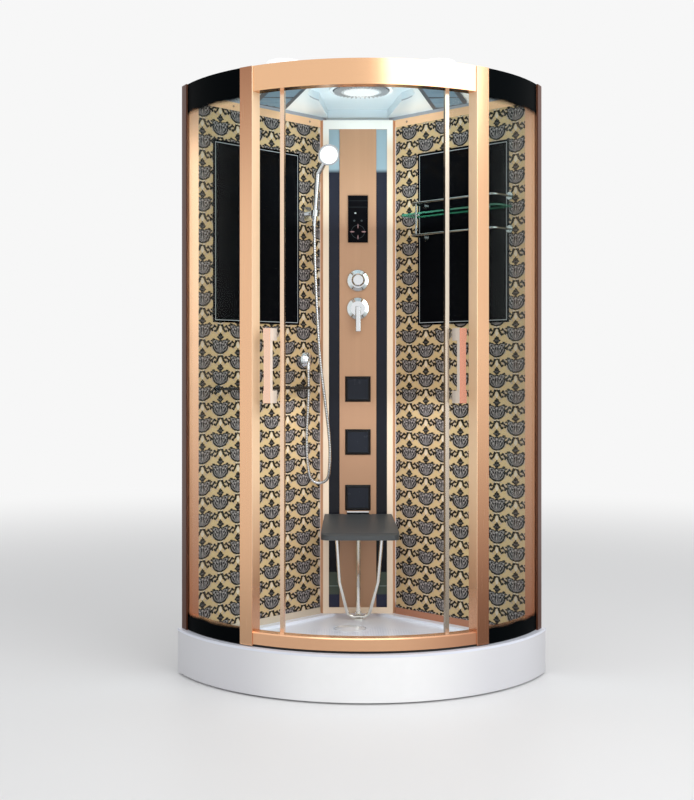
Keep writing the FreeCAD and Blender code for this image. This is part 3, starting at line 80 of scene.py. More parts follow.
# %% Ink
class Ink:
    """One output of a node, which can be used like a number."""

    def __init__(self, tree, socket=None):
        self.tree = tree
        self.socket = socket

    def node(self, kind, settings=None, inputs=None, output=0):
        """A new node with its settings and inputs; gives back one of its outputs."""
        made = self.tree.nodes.new(kind)
        for name, value in (settings or {}).items():
            setattr(made, name, value)
        for name, value in (inputs or {}).items():
            socket = made.inputs[name]
            if isinstance(value, Ink):
                self.tree.links.new(value.socket, socket)
            else:
                socket.default_value = value
        return Ink(self.tree, made.outputs[output])

    def math(self, operation, *values):
        """A Math node with its values in order."""
        return self.node("ShaderNodeMath", {"operation": operation}, dict(enumerate(values)))

    def __add__(self, other): return self.math("ADD", self, other)
    def __sub__(self, other): return self.math("SUBTRACT", self, other)
    def __mul__(self, other): return self.math("MULTIPLY", self, other)
    def __truediv__(self, other): return self.math("DIVIDE", self, other)
    def __rsub__(self, other): return self.math("SUBTRACT", other, self)
    def __gt__(self, other): return self.math("GREATER_THAN", self, other)
    def __lt__(self, other): return self.math("LESS_THAN", self, other)
    def __abs__(self): return self.math("ABSOLUTE", self)
    __radd__ = __add__
    __rmul__ = __mul__

    def over(self, other): return self.math("MAXIMUM", self, other)
    def within(self, other): return self.math("MINIMUM", self, other)
    def far(self, other): return self.math("SQRT", self * self + other * other)
    def fold(self, period): return self.math("PINGPONG", self, period)
    def wrap(self, period): return self.math("WRAP", self, period, 0.0)

    def soft(self, edge, width):
        """1 where the value is below the edge, 0 above, with a soft step of that width."""
        return self.node("ShaderNodeMapRange", {"interpolation_type": "SMOOTHSTEP"},
                         {0: self, 1: edge - width, 2: edge + width, 3: 1.0, 4: 0.0})

    def blend(self, low, high):
        """A colour from low to high as the value goes from 0 to 1."""
        low, high = [(*c, 1) if isinstance(c, tuple) else c for c in (low, high)]
        return self.node("ShaderNodeMix", {"data_type": "RGBA"}, {0: self, 6: low, 7: high}, 2)


def finish(name, colour, metallic=0.0, rough=0.4, **extra):
    """A new material: its ink, its surface shader and the object's own coordinates."""
    material = bpy.data.materials.new(name)
    material.use_nodes = True
    tree = material.node_tree
    surface = tree.nodes["Principled BSDF"]
    surface.inputs["Base Color"].default_value = (*colour, 1)
    surface.inputs["Metallic"].default_value = metallic
    surface.inputs["Roughness"].default_value = rough
    for key, value in extra.items():
        surface.inputs[key.replace("_", " ")].default_value = value
    ink = Ink(tree)
    place = ink.node("ShaderNodeTexCoord", output="Object")
    return material, ink, surface, place


def link(value, surface, name):
    """Feeds a value into one input of the surface shader."""
    value.tree.links.new(value.socket, surface.inputs[name])


def mix_shaders(ink, share, first, second):
    """A shader that goes from the first to the second as the share goes from 0 to 1."""
    first, second = [shader if isinstance(shader, Ink) else Ink(ink.tree, shader.outputs[0])
                     for shader in (first, second)]
    return ink.node("ShaderNodeMixShader", None, {0: share, 1: first, 2: second})


def cover(ink, shader):
    """Makes a shader the whole look of its material."""
    ink.tree.links.new(shader.socket, ink.tree.nodes["Material Output"].inputs["Surface"])


def bump(ink, surface, height, distance, strength=1.0):
    """Small relief, with its depth in metres."""
    relief = ink.node("ShaderNodeBump", None,
                      {"Strength": strength, "Distance": distance, "Height": height})
    link(relief, surface, "Normal")


def axes(ink, place):
    """X, Y and Z of a place as three inks."""
    split = ink.tree.nodes.new("ShaderNodeSeparateXYZ")
    ink.tree.links.new(place.socket, split.inputs[0])
    return [Ink(ink.tree, split.outputs[i]) for i in range(3)]


def facing(ink):
    """X, Y and Z of the way that the surface faces."""
    return axes(ink, ink.node("ShaderNodeNewGeometry", output="Normal"))


def noise(ink, place, scale, detail=3.0, rough=0.5):
    """Soft clouds from 0 to 1; a larger scale makes them smaller."""
    return ink.node("ShaderNodeTexNoise", None, {"Vector": place, "Scale": scale,
                    "Detail": detail, "Roughness": rough})


def stretched(ink, place, size):
    """The place with each axis scaled, for brushed or drawn metal."""
    return ink.node("ShaderNodeMapping", None, {0: place, 3: size})


def dress(material, *names):
    """Gives a material to CAD nodes."""
    for name in names:
        node = nodes[name]
        if not node.material_slots:
            node.data.materials.append(material)
        for own in node.material_slots:
            own.material = material


# %% [markdown]
# ## Studio
# Soft lamps stand around the cabin. The metal needs something bright and something dim to
# reflect, so a tall lamp stands at the front right and the left side stays darker: that
# gives the header its bright right half. Three small lamps inside keep the walls, the tray
# and the roof bright. The background is paler than the sky that lights the cabin.

# %% Lamps and sky
def soft_lamp(name, place, target, width, height, power, colour=(1, 1, 1)):
    """A rectangular lamp that looks at its target, with its power in watts."""
    lamp = bpy.data.lights.new(name, "AREA")
    lamp.color = colour
    lamp.shape = "RECTANGLE"
    lamp.size = width
    lamp.size_y = height
    lamp.energy = power
    holder = bpy.data.objects.new(name, lamp)
    holder.location = place
    holder.rotation_euler = (Vector(target) - Vector(place)).to_track_quat("-Z", "Y").to_euler()
    scene.collection.objects.link(holder)
    return holder


soft_lamp("lamp_header", (1.62, -1.95, 2.78), (0.30, -0.45, 2.0), 2.7, 1.1, 33)
soft_lamp("lamp_right", (2.6, -3.2, 1.5), (0, 0.1, 1.1), 1.9, 2.2, 26)
soft_lamp("lamp_front", (0.2, -4.4, 1.1), (0, 0, 0.6), 1.6, 1.6, 10).visible_glossy = False
soft_lamp("lamp_left", (-3.6, -2.4, 1.7), (0, 0.1, 1.0), 1.6, 2.4, 10).visible_glossy = False
soft_lamp("lamp_top", (0, -0.6, 4.6), (0, 0, 1.0), 3.0, 3.0, 60)
inner_lamps = [
    soft_lamp("lamp_inside_back", (0.0, -0.22, 0.92), (0, 0.2, 0.92), 0.5, 1.7, 2.0),
    soft_lamp("lamp_inside_tray", (0.0, -0.05, 0.95), (0, -0.05, 0.1), 0.5, 0.5, 1.75,
              (0.90, 0.95, 1.0)),
    soft_lamp("lamp_inside_roof", (0.0, -0.02, 1.58), (0, -0.02, 2.2), 0.44, 0.44, 2.35,
              (0.80, 0.96, 1.0)),
]
for lamp in inner_lamps:
    lamp.visible_camera = False
    lamp.visible_glossy = False

world = bpy.data.worlds.new("studio")
scene.world = world
world.use_nodes = True
world_tree = world.node_tree
shell = world_tree.nodes["Background"]
shell.inputs["Color"].default_value = (0.80, 0.81, 0.83, 1)
shell.inputs["Strength"].default_value = 0.62
ink = Ink(world_tree)
seen = ink.node("ShaderNodeBackground", None, {"Color": (0.93, 0.93, 0.93, 1)})
camera_ray = ink.node("ShaderNodeLightPath", output="Is Camera Ray")
glossy_ray = ink.node("ShaderNodeLightPath", output="Is Glossy Ray")
sky = mix_shaders(ink, camera_ray.over(glossy_ray), shell, seen)
world_tree.links.new(sky.socket, world_tree.nodes["World Output"].inputs[0])
print("lamps:", len(bpy.data.lights))

# %% [markdown]
# ## Rose-gold profiles
# The profiles are extruded aluminium, brushed along their length and anodised to the
# colour of copper. Fine streaks along Z vary the colour and the roughness a little. The
# colour is painted darker towards the cabin's foot and its right end, as painted shade for
# the darker room that the metal mirrors there. Some faces are painted paler, as painted
# highlights: the door edges, the sideways flanks of the handles and posts, the top trims and
# the front of the column frame.

# %% Rose gold
def rose_gold(name, colour, rough, metallic=1.0):
    """Brushed metal: what finish gives, and the colour so far, for more shades on top."""
    material, ink, surface, place = finish(name, colour, metallic, rough)
    streaks = noise(ink, stretched(ink, place, (900, 900, 6)), 1.0, 2.0)
    cloud = noise(ink, place, 2.2, 2.0)
    tone = streaks * 0.35 + cloud * 0.65
    deep = tuple(c * 0.93 for c in colour)
    pale = tuple(min(1, c * 1.05) for c in colour)
    tint = tone.blend(deep, pale)
    link(tint, surface, "Base Color")
    link(streaks * 0.06 + (rough - 0.03), surface, "Roughness")
    return material, ink, surface, place, tint


copper = rose_gold("rose_gold", (0.90, 0.54, 0.31), 0.24)[0]
dress(copper, "header_rail", "header_cover")

material, ink, surface, place, tint = rose_gold("rose_gold_edge", (0.93, 0.68, 0.50), 0.24)
x, y, z = axes(ink, place)
# Painted highlight and shade: the door edges are paler than the other profiles, and the right one
# is grey-brown.
link((x > 0.0).blend(tint, (0.44, 0.38, 0.31)), surface, "Base Color")
dress(material, "door_edge_left", "door_edge_right")

material, ink, surface, place, tint = rose_gold("rose_gold_rail", (0.94, 0.54, 0.31), 0.24,
                                                0.6)
x, y, z = axes(ink, place)
# Painted shade: past 0.24 m to the right the rail turns dark brown.
rail_shade_from = 0.24
shade = (rail_shade_from - x).soft(0.0, 0.2)
link(shade.blend(tint, (0.55, 0.25, 0.14)), surface, "Base Color")
dress(material, "bottom_rail")

material, ink, surface, place, tint = rose_gold("rose_gold_handle", (0.98, 0.64, 0.48), 0.2)
x, y, z = axes(ink, place)
# Painted shade and highlight: the right handle is darker, and the faces that look sideways are
# pale and less metallic.
tint = (x > 0.0).blend(tint, (0.68, 0.31, 0.21))
flank_highlight = 1 - abs(facing(ink)[0]).soft(0.6, 0.05)
link(flank_highlight.blend(tint, (0.96, 0.86, 0.76)), surface, "Base Color")
link(1 - flank_highlight * 0.7, surface, "Metallic")
dress(material, "handle_left", "handle_right")

material, ink, surface, place, tint = rose_gold("rose_gold_trim", (0.74, 0.52, 0.37), 0.34, 0.2)
x, y, z = axes(ink, place)
# Painted highlight and shade: above 1.94 m the top trims are bright orange; below 0.6 m the trims
# turn greyer on the left and dark brown on the right, as a painted reflection of the dim floor.
trim_highlight_from, trim_reflection_below = 1.94, 0.6
low = (x > 0.0).blend((0.66, 0.56, 0.44), (0.50, 0.22, 0.13))
tint = z.soft(trim_highlight_from, 0.03).blend((1.0, 0.62, 0.36), tint)
link(z.soft(trim_reflection_below, 0.5).blend(tint, low), surface, "Base Color")
dress(material, "wall_frames")

material, ink, surface, place, tint = rose_gold("rose_gold_profile", (0.98, 0.60, 0.38), 0.3,
                                                0.5)
x, y, z = axes(ink, place)
# Painted shade: the face beyond the glass is near black and barely metallic, and the right
# profile and the lower parts are darker.
profile_face, profile_shade_below = 0.6805, 0.75
outer_face_shade = 1 - x.far(arc_centre - y).soft(profile_face, 0.0002)
tint = ((x > 0.0) * 0.6).blend(tint, (0.60, 0.33, 0.20))
tint = z.soft(profile_shade_below, 0.7).blend(tint, (0.48, 0.20, 0.11))
link(outer_face_shade.blend(tint, (0.085, 0.026, 0.012)), surface, "Base Color")
link(0.5 - outer_face_shade * 0.45, surface, "Metallic")
surface.inputs["Specular IOR Level"].default_value = 0.15
dress(material, "wall_profiles")

material, ink, surface, place, tint = rose_gold("rose_gold_post", (0.90, 0.54, 0.32), 0.26)
x, y, z = axes(ink, place)
turn = abs(ink.math("ARCTAN2", x, arc_centre - y)) * math.degrees(1)
post_edge_angle = 32.1
# Painted shade: the right post is dark at its foot and the left post at its head. The inner faces
# of the posts are painted pale and less metallic above 0.45 m, as a painted highlight.
post_foot_shade_below, post_head_shade_above, post_flank_highlight_from = 0.70, 1.80, 0.45
flank_highlight = turn.soft(post_edge_angle, 0.03)
foot = z.soft(post_foot_shade_below, 0.50) * (x > 0.0)
head = (post_head_shade_above - z).soft(0.0, 0.35) * (x < 0.0)
tint = foot.over(head).blend(tint, (0.38, 0.17, 0.095))
pale = (post_flank_highlight_from - z).soft(0.0, 0.35)
flank_highlight_tint = pale.blend((0.80, 0.42, 0.25), (0.94, 0.66, 0.42))
link(flank_highlight.blend(tint, flank_highlight_tint), surface, "Base Color")
link(1 - flank_highlight * pale, surface, "Metallic")
dress(material, "door_posts")

material, ink, surface, place, tint = rose_gold("rose_gold_column", (0.80, 0.46, 0.27), 0.26,
                                                0.3)
x, y, z = axes(ink, place)
# Painted highlight: the flat front of the frame is cream and less metallic, and whiter above 1.92
# m.
column_front, column_highlight_crest = 0.3242, 1.92
front = y.soft(column_front, 0.0002)
crest_highlight = 1 - z.soft(column_highlight_crest, 0.05)
cream = crest_highlight.blend((0.88, 0.70, 0.53), (1.0, 0.98, 0.92))
link(front.blend(tint, cream), surface, "Base Color")
link(0.3 - front * 0.2, surface, "Metallic")
dress(material, "column_frame")

# %% [markdown]
# ## Damask walls
# The wall print repeats an urn with curls, a crown and a leaf, every other column moved by
# half a step. It is worked out from distances to ellipses and short strokes, in millimetres
# along the wall, so it stays sharp at any size. Noise bends its edges a little, as on cloth.
# The back of the panels is plain.

# %% Damask
step_along = 81.7
step_up = 110.0
motif_foot = 26.0


def ellipse(x, y, rx, ry):
    """Below 1 inside the ellipse."""
    return (x / rx).far(y / ry)


def ring(x, y, rx, ry, half_width):
    """The mask of a thin elliptical line."""
    return abs(ellipse(x, y, rx, ry) - 1.0).soft(half_width / min(rx, ry), 0.6 / min(rx, ry))


def blob(x, y, rx, ry):
    """The mask of a filled ellipse."""
    return ellipse(x, y, rx, ry).soft(1.0, 0.7 / min(rx, ry))


def many(masks):
    """The union of several masks."""
    whole = masks[0]
    for mask in masks[1:]:
        whole = whole.over(mask)
    return whole


def stroke(x, y, from_x, from_y, to_x, to_y, half_width):
    """The mask of a straight stroke with round ends."""
    run_x, run_y = to_x - from_x, to_y - from_y
    near_x, near_y = x - from_x, y - from_y
    share = (near_x * run_x + near_y * run_y) / (run_x ** 2 + run_y ** 2)
    share = share.over(0.0).within(1.0)
    return (near_x - share * run_x).far(near_y - share * run_y).soft(half_width, 0.6)


def urn(x, side, y, less):
    """The urn: a round cup with a lobed top, smaller all round by less."""
    cup = blob(x, y - 4.0, 37.0 - less, 30.0 - less) * (y - 15.0).soft(0.0, 1.0)
    lobes = [blob(side - 22.0, y - 16.0, 16.0 - less, 9.5 - less * 0.6),
             blob(x, y - 17.0, 10.0 - less, 7.5 - less * 0.5)]
    return many([cup] + lobes)


def motif(x, y):
    """The masks of one column of the pattern: black, halo, lilac scrolls, lights and cream."""
    side = abs(x)
    body = urn(x, side, y, 0.0)
    inner = urn(x, side, y, 5.4)
    arms = [stroke(side, y, 29.0, 4.0, 43.0, 8.0, 4.2),
            stroke(side, y, 43.0, 8.0, 54.0, 17.0, 3.4),
            blob(side - 55.0, y - 19.0, 5.0, 3.8), blob(side - 45.0, y - 3.0, 4.4, 5.0),
            blob(side - 31.0, y - 26.0, 7.0, 3.8), blob(side - 40.0, y - 21.0, 5.0, 3.2)]
    bud = [blob(x, y - 34.0, 16.0, 5.6), blob(x, y - 40.0, 10.0, 7.0),
           blob(x, y - 28.0, 9.0, 4.0), stroke(x, y, 0.0, 40.0, 0.0, 49.0, 2.8)]
    arch = [blob(side - 6.5, y - 77.0, 6.4, 4.8), stroke(side, y, 9.0, 76.0, 14.0, 63.0, 4.8),
            stroke(side, y, 14.0, 63.0, 22.0, 54.0, 4.0),
            blob(side - 27.0, y - 56.0, 4.0, 4.4), blob(side - 22.0, y - 70.0, 5.0, 3.4),
            stroke(side, y, 22.0, 70.0, 28.0, 74.0, 2.6)]
    black = many([body] + arms + bud + arch)
    halo = many([stroke(side, y, 33.0, 15.0, 47.0, 20.0, 3.4),
                 stroke(side, y, 40.0, 0.0, 34.0, -13.0, 2.6),
                 blob(side - 30.0, y - 63.0, 5.0, 3.6), blob(side - 17.0, y - 48.0, 5.0, 3.0),
                 blob(side - 53.0, y - 9.0, 4.6, 4.0), blob(side - 16.0, y - 84.0, 7.0, 3.0)])
    scrolls = many([stroke(x, y, 0.0, -15.0, 0.0, 13.0, 2.5),
                    stroke(side, y, 5.0, -14.0, 11.0, 9.0, 2.1),
                    stroke(side, y, 10.0, -13.0, 21.0, 5.0, 2.2), blob(x, y + 18.0, 8.0, 2.6),
                    ring(x, y - 4.0, 28.5, 22.0, 1.8) * (y - 7.0).soft(0.0, 1.5),
                    ring(side - 11.0, y - 14.0, 5.4, 4.6, 1.7),
                    ring(side - 23.0, y - 16.0, 7.5, 4.6, 1.9),
                    blob(side - 31.0, y - 17.0, 5.0, 3.6), blob(x, y - 34.0, 9.0, 2.6) * 0.7])
    lights = many([blob(x, y - 15.0, 3.4, 3.4), blob(side - 12.0, y - 11.0, 2.6, 2.6),
                   blob(side - 23.0, y - 8.0, 2.8, 2.4), blob(side - 15.0, y + 1.0, 2.0, 3.4),
                   blob(side - 29.0, y - 19.0, 3.0, 2.2), blob(x, y + 6.0, 1.6, 6.0)])
    cream = many([blob(side - 6.5, y - 82.5, 4.6, 3.0), blob(x, y - 61.0, 7.0, 7.4),
                  stroke(x, y, 0.0, 54.0, 0.0, 70.0, 3.6)])
    return black, halo * (1 - black), scrolls * inner.over(black * 0.6), lights * inner, cream


def damask(name, side, along_phase, up_phase):
    """The print on one wall, with its start along and up the wall; the back stays plain."""
    material, ink, surface, place = finish(name, (0.6, 0.5, 0.35), 0.0, 0.32,
                                           Specular_IOR_Level=0.25)
    x, y, z = axes(ink, place)
    wobble = noise(ink, place, 110.0, 1.0) * 5.0 - 2.5
    along = (x * side + back_corner - y) * (1000 / math.sqrt(2)) - along_phase + wobble
    up = z * 1000.0 - up_phase + wobble
    masks = []
    for shift in (0, 1):
        column = (along + step_along * (1 + shift)).wrap(2 * step_along) - step_along
        row = (up + motif_foot + step_up / 2 * shift).wrap(step_up) - motif_foot
        masks.append(motif(column, row))
    black, halo, lilac, lights, cream = [a.over(b) for a, b in zip(*masks)]
    grain = noise(ink, place, 330.0, 3.0)
    cloth = noise(ink, place, 14.0, 2.0)
    ground = cloth.blend((0.52, 0.35, 0.16), (0.66, 0.47, 0.24))
    ground = (grain * 3.0 - 1.2).blend(ground, (0.60, 0.46, 0.28))
    colour = (halo * 0.8).blend(ground, (0.42, 0.34, 0.30))
    colour = cream.blend(colour, (0.66, 0.56, 0.44))
    colour = (black * (1 - cream)).blend(colour, (0.008, 0.007, 0.006))
    scroll_tint = (grain * 4.0 - 1.6).blend((0.12, 0.11, 0.11), (0.28, 0.25, 0.25))
    colour = lilac.blend(colour, scroll_tint)
    colour = lights.blend(colour, (0.42, 0.37, 0.35))
    way_x, way_y = facing(ink)[:2]
    back = ((way_x * side + way_y) * -0.7071).soft(0.5, 0.05)
    link(back.blend(colour, (0.62, 0.61, 0.59)), surface, "Base Color")
    return material


dress(damask("damask_right", 1.0, 391.9, 1006.9), "back_panel_right")
dress(damask("damask_left", -1.0, 493.9, 1953.9), "back_panel_left")

# %% [markdown]
# ## Clear glass and its black print
# Glass that light passes straight through keeps the inside of the cabin bright. Each face
# mixes a slightly green transparent shader with a mirror that grows towards the edges. The
# fixed panes have a black print above and below, which ends in rows of shrinking dots.

# %% Glass
glass_radius = 677.0
print_foot = 0.200
print_head = 1.938
dot_pitch = 5.0


def clear_glass(name, tint, print_bands=False):
    """Clear glass of a tint, with the black print above and below if it is asked for."""
    material, ink, surface, place = finish(name, (0.0012, 0.002, 0.0025), 0.0, 0.4,
                                           Specular_IOR_Level=0.01)
    through = ink.node("ShaderNodeBsdfTransparent", None, {0: (*tint, 1)})
    mirror = ink.node("ShaderNodeBsdfGlossy", None, {0: (1, 1, 1, 1), "Roughness": 0.01})
    sheen = ink.node("ShaderNodeLayerWeight", None, {"Blend": 0.12}, "Fresnel")
    look = mix_shaders(ink, (sheen * 0.12).within(0.04), through, mirror)
    if print_bands:
        x, y, z = axes(ink, place)
        turn = ink.math("ARCTAN2", x, arc_centre - y) * (glass_radius / dot_pitch)
        rise = z * (1000.0 / dot_pitch)
        between = (z - print_head).soft(0.0, 0.0001) * (print_foot - z).soft(0.0, 0.0001)
        from_print = (print_head - z).within(z - print_foot)
        grid = ((turn + rise).fold(1.0) - 0.5).far((turn - rise).fold(1.0) - 0.5)
        dots = (grid + from_print * 28.0).soft(0.62, 0.06)
        look = mix_shaders(ink, (1 - between).over(dots), look, surface)
    cover(ink, look)
    return material


dress(clear_glass("printed_glass", (0.97, 0.985, 0.98), True), "fixed_glass_left",
      "fixed_glass_right")
dress(clear_glass("door_glass", (0.97, 0.985, 0.98)), "door_glass_left", "door_glass_right")

material, ink, surface, place = finish("shelf_glass", (0.05, 0.20, 0.13), 0.0, 0.1)
through = ink.node("ShaderNodeBsdfTransparent", None, {0: (0.78, 0.93, 0.87, 1)})
cut_edge = abs(facing(ink)[2]).soft(0.5, 0.05)
cover(ink, mix_shaders(ink, cut_edge * 0.7, through, surface))
dress(material, "glass_shelf")

# %% [markdown]
# ## White acrylic
# The tray, its apron and the roof are vacuum-formed acrylic: white, glossy and slightly
# uneven. The tray's floor carries a field of small raised dots against slipping, painted
# darker and bluer as painted shade. The apron is painted grey away from its middle, as
# painted shade on its sides; the roof's middle is painted darker than its sides, as painted
# shade in its raised centre. The roof also has a grey lower lip.

# %% Acrylic
tray_floor = 0.1085
dot_step = 0.013
field_y, field_radius = -0.16, 0.29
drain_x, drain_y, drain_clearance = -0.035, 0.109, 0.075


def acrylic(name, colour, coat, sides=None, middle=0.0, step=0.0, lip=0.0, dotted=False):
    """White acrylic; sides is its colour past middle (painted shade: grey sides on the apron,
    a darker middle on the roof), and lip the height of its grey edge.
    """
    material, ink, surface, place = finish(name, colour, 0.0, 0.3, Coat_Weight=coat,
                                           Coat_Roughness=0.05)
    x, y, z = axes(ink, place)
    mottle = noise(ink, place, 26.0, 4.0, 0.6)
    wave = noise(ink, place, 3.0, 1.0)
    deep = tuple(c * 0.93 for c in colour)
    tint = (mottle * 0.6 + wave * 0.6 - 0.2).blend(deep, colour)
    height = wave * 0.4 + mottle * 0.1
    if sides:
        tint = abs(x).soft(middle, step).blend(sides, tint)
    if lip:
        way_x, way_y = facing(ink)[:2]
        inward = 1 - (abs(way_x) - way_y).soft(1.2, 0.05)
        tint = (inward * z.soft(lip, 0.002)).blend(tint, (0.34, 0.36, 0.40))
    if dotted:
        u = ((x + y) * 0.7071 / dot_step).fold(1.0) - 0.5
        v = ((x - y) * 0.7071 / dot_step).fold(1.0) - 0.5
        field = (y - field_y).far(x).soft(field_radius, 0.03) * z.soft(tray_floor, 0.0003)
        clear_of_drain = 1 - (x - drain_x).far(y - drain_y).soft(drain_clearance, 0.002)
        dots = u.far(v).soft(0.26, 0.07) * field * clear_of_drain
        height = height + dots * 2.0
        # Painted shade: the raised dots are darker and bluer than the tray.
        tint = (dots * 0.8).blend(tint, (0.50, 0.53, 0.66))
    link(tint, surface, "Base Color")
    bump(ink, surface, height, 0.0006, 0.8)
    return material


dress(acrylic("tray_acrylic", (0.84, 0.87, 0.96), 0.1, dotted=True), "shower_tray")
# Painted shade: the apron turns grey past 0.29 m to either side, and the roof is darker within
# 0.18 m of its middle than at its sides.
dress(acrylic("apron_acrylic", (1.0, 1.0, 1.0), 0.7, sides=(0.74, 0.74, 0.77), middle=0.29,
              step=0.16), "front_apron")
dress(acrylic("roof_acrylic", (0.68, 0.78, 0.83), 0.3, sides=(0.95, 1.0, 1.0), middle=0.18,
              step=0.03, lip=2.016), "roof_shell")

# %% [markdown]
# ## Column, dark mirror and black glass
# The column's middle is a matt copper sheet between two strips of dark mirror; the sheet is
# painted darker towards its foot, as painted shade. The strips carry a painted reflection
# that changes with height: pale at the top for the mirrored roof, dark lower down, with a
# greenish band and a thin bright line above the tray. The walls carry black glass panes with
# a thin silver line near their edge, measured along the wall and in height.

# %% Column and dark panes
material, ink, surface, place = finish("copper_sheet", (0.50, 0.29, 0.17), 0.1, 0.5)
wash = noise(ink, stretched(ink, place, (60, 60, 0.8)), 1.0, 2.0)
x, y, z = axes(ink, place)
sheet_shade_below = 0.85
tint = wash.blend((0.48, 0.265, 0.148), (0.54, 0.305, 0.177))
# Painted shade: below about 0.85 m the sheet turns darker.
tint = z.soft(sheet_shade_below, 0.2).blend(tint, (0.41, 0.225, 0.128))
link(tint, surface, "Base Color")
link(wash * 0.1 + 0.45, surface, "Roughness")
dress(material, "column_panel")

material, ink, surface, place = finish("dark_mirror", (0.03, 0.034, 0.05), 0.0, 0.05,
                                       Specular_IOR_Level=0.12)
x, y, z = axes(ink, place)
mirror_low, mirror_high = 0.6, 1.75
roof_reflection_from, roof_reflection_to = 1.800, 1.815
green_reflection_below, bright_reflection_line, blue_reflection_below = 0.275, 0.222, 0.190
# Painted reflection: the mirror is darker low down and pale blue above 1.8 m for the roof it
# mirrors, greenish below 0.275 m, bluer below 0.19 m, with a bright line at 0.222 m.
reflection_fade = ink.node("ShaderNodeMapRange", None,
                {0: z, 1: mirror_low, 2: mirror_high, 3: 0.0, 4: 1.0})
top = ink.node("ShaderNodeMapRange", None, {0: z, 1: roof_reflection_from, 2: roof_reflection_to, 3: 0.0, 4: 1.0})
cloud = noise(ink, stretched(ink, place, (8, 8, 1.4)), 2.0, 2.0)
colour = reflection_fade.blend((0.010, 0.010, 0.012), (0.024, 0.027, 0.045))
colour = (cloud * 0.7).blend(colour, (0.016, 0.018, 0.024))
colour = top.blend(colour, (0.32, 0.43, 0.49))
colour = z.soft(green_reflection_below, 0.002).blend(colour, (0.065, 0.078, 0.062))
colour = z.soft(blue_reflection_below, 0.004).blend(colour, (0.028, 0.030, 0.055))
colour = abs(z - bright_reflection_line).soft(0.0014, 0.001).blend(colour, (0.18, 0.22, 0.20))
link(colour, surface, "Base Color")
dress(material, "column_mirrors")

material, ink, surface, place = finish("black_glass", (0.003, 0.0032, 0.004), 0.0, 0.06,
                                       Specular_IOR_Level=0.05)
x, y, z = axes(ink, place)
pane_side_from, pane_side_to = 0.356, 0.773
pane_low, pane_high = 1.215, 1.857
line_inset = 0.0085
along = (abs(x) + back_corner - y) / math.sqrt(2)
side_line = abs(along - (pane_side_from + pane_side_to) / 2)
side_line = side_line - ((pane_side_to - pane_side_from) / 2 - line_inset)
end_line = abs(z - (pane_low + pane_high) / 2) - ((pane_high - pane_low) / 2 - line_inset)
uprights = abs(side_line).soft(0.0011, 0.0004) * end_line.soft(0.001, 0.0004)
crossings = abs(end_line).soft(0.0011, 0.0004) * side_line.soft(0.001, 0.0004)
line = uprights.over(crossings)
link(line.blend((0.003, 0.0032, 0.004), (0.40, 0.42, 0.44)), surface, "Base Color")
dress(material, "dark_glass_panels")

# %% [markdown]
# ## Chrome, steel, plastic and rubber
# Small fittings share a few plain finishes. Even polished chrome is never perfectly clean,
# so a faint cloud varies its roughness. After the colour, each line gives how metallic and
# how rough the finish is, how fine its cloud is, and how far the cloud moves the roughness.

# %% Plain finishes
def plain(name, colour, metallic, rough, scale=60.0, spread=0.06, relief=0.0, **extra):
    """A clouded finish; spread is how far the roughness goes to either side."""
    material, ink, surface, place = finish(name, colour, metallic, rough, **extra)
    cloud = noise(ink, place, scale, 4.0, 0.6)
    link(cloud * (2 * spread) + (rough - spread), surface, "Roughness")
    deep = tuple(c * 0.88 for c in colour)
    link(cloud.blend(deep, colour), surface, "Base Color")
    if relief:
        bump(ink, surface, cloud, relief)
    return material


chrome = plain("chrome", (0.86, 0.88, 0.90), 1.0, 0.08, 30.0, 0.04)
dress(chrome, "control_flanges", "diverter_knob", "mixer_hub", "mixer_lever", "hose_outlet",
      "handset_bracket", "carriers_left", "carriers_right", "seat_hinge", "shower_hose")
dress(plain("seat_chrome", (0.96, 0.93, 0.86), 1.0, 0.10, 30.0, 0.04), "seat_loop", "seat_post")
dress(plain("cover_white", (0.88, 0.90, 0.95), 0.0, 0.12, 30.0, 0.04, Coat_Weight=0.15),
      "drain_cover")
dress(plain("bar_chrome", (0.16, 0.17, 0.185), 1.0, 0.2, 30.0, 0.05), "towel_bar")
dress(plain("rail_chrome", (0.50, 0.54, 0.54), 1.0, 0.14, 30.0, 0.05), "shelf_rails")
dress(plain("zinc", (0.58, 0.59, 0.58), 1.0, 0.38, 90.0, 0.1), "support_frame", "levelling_feet")
dress(plain("brass", (0.70, 0.50, 0.22), 1.0, 0.32, 120.0, 0.1, 0.0002), "water_valve")
dress(plain("braided_hose", (0.42, 0.43, 0.45), 0.6, 0.4, 400.0, 0.1, 0.0003), "water_hoses")
dress(plain("black_rubber", (0.014, 0.014, 0.014), 0.0, 0.6, 200.0, 0.1), "rail_gasket",
      "door_stops")
dress(plain("jet_black", (0.006, 0.006, 0.007), 0.0, 0.2, 60.0, 0.05, Specular_IOR_Level=0.3),
      "jet_frames")
dress(plain("jet_slate", (0.013, 0.016, 0.025), 0.0, 0.26, 30.0, 0.05, Specular_IOR_Level=0.2),
      "jet_plate_top", "jet_plate_middle", "jet_plate_bottom")
dress(plain("seat_plastic", (0.050, 0.055, 0.058), 0.0, 0.42, 500.0, 0.06, 0.0001), "seat")
dress(plain("nylon", (0.80, 0.80, 0.77), 0.0, 0.4), "roller_left_lead", "roller_left_trail",
      "roller_right_lead", "roller_right_trail")
dress(plain("trap_plastic", (0.30, 0.31, 0.32), 0.0, 0.45), "drain_trap")
dress(plain("vent_frame", (0.060, 0.085, 0.115), 0.0, 0.4), "roof_frames")
dress(plain("vent_insert", (0.25, 0.37, 0.46), 0.0, 0.4), "roof_inserts")

# %% [markdown]
# ## Rain head and hand shower
# The rain head is white plastic. Painted shade marks it: dark gaps between fins in a ring,
# seen from below, and a dark slot that runs round it above its rim. The hand shower is
# chrome, with a pale matt face inside a circle: the distances are taken from the face's
# centre, along the way in which it looks.

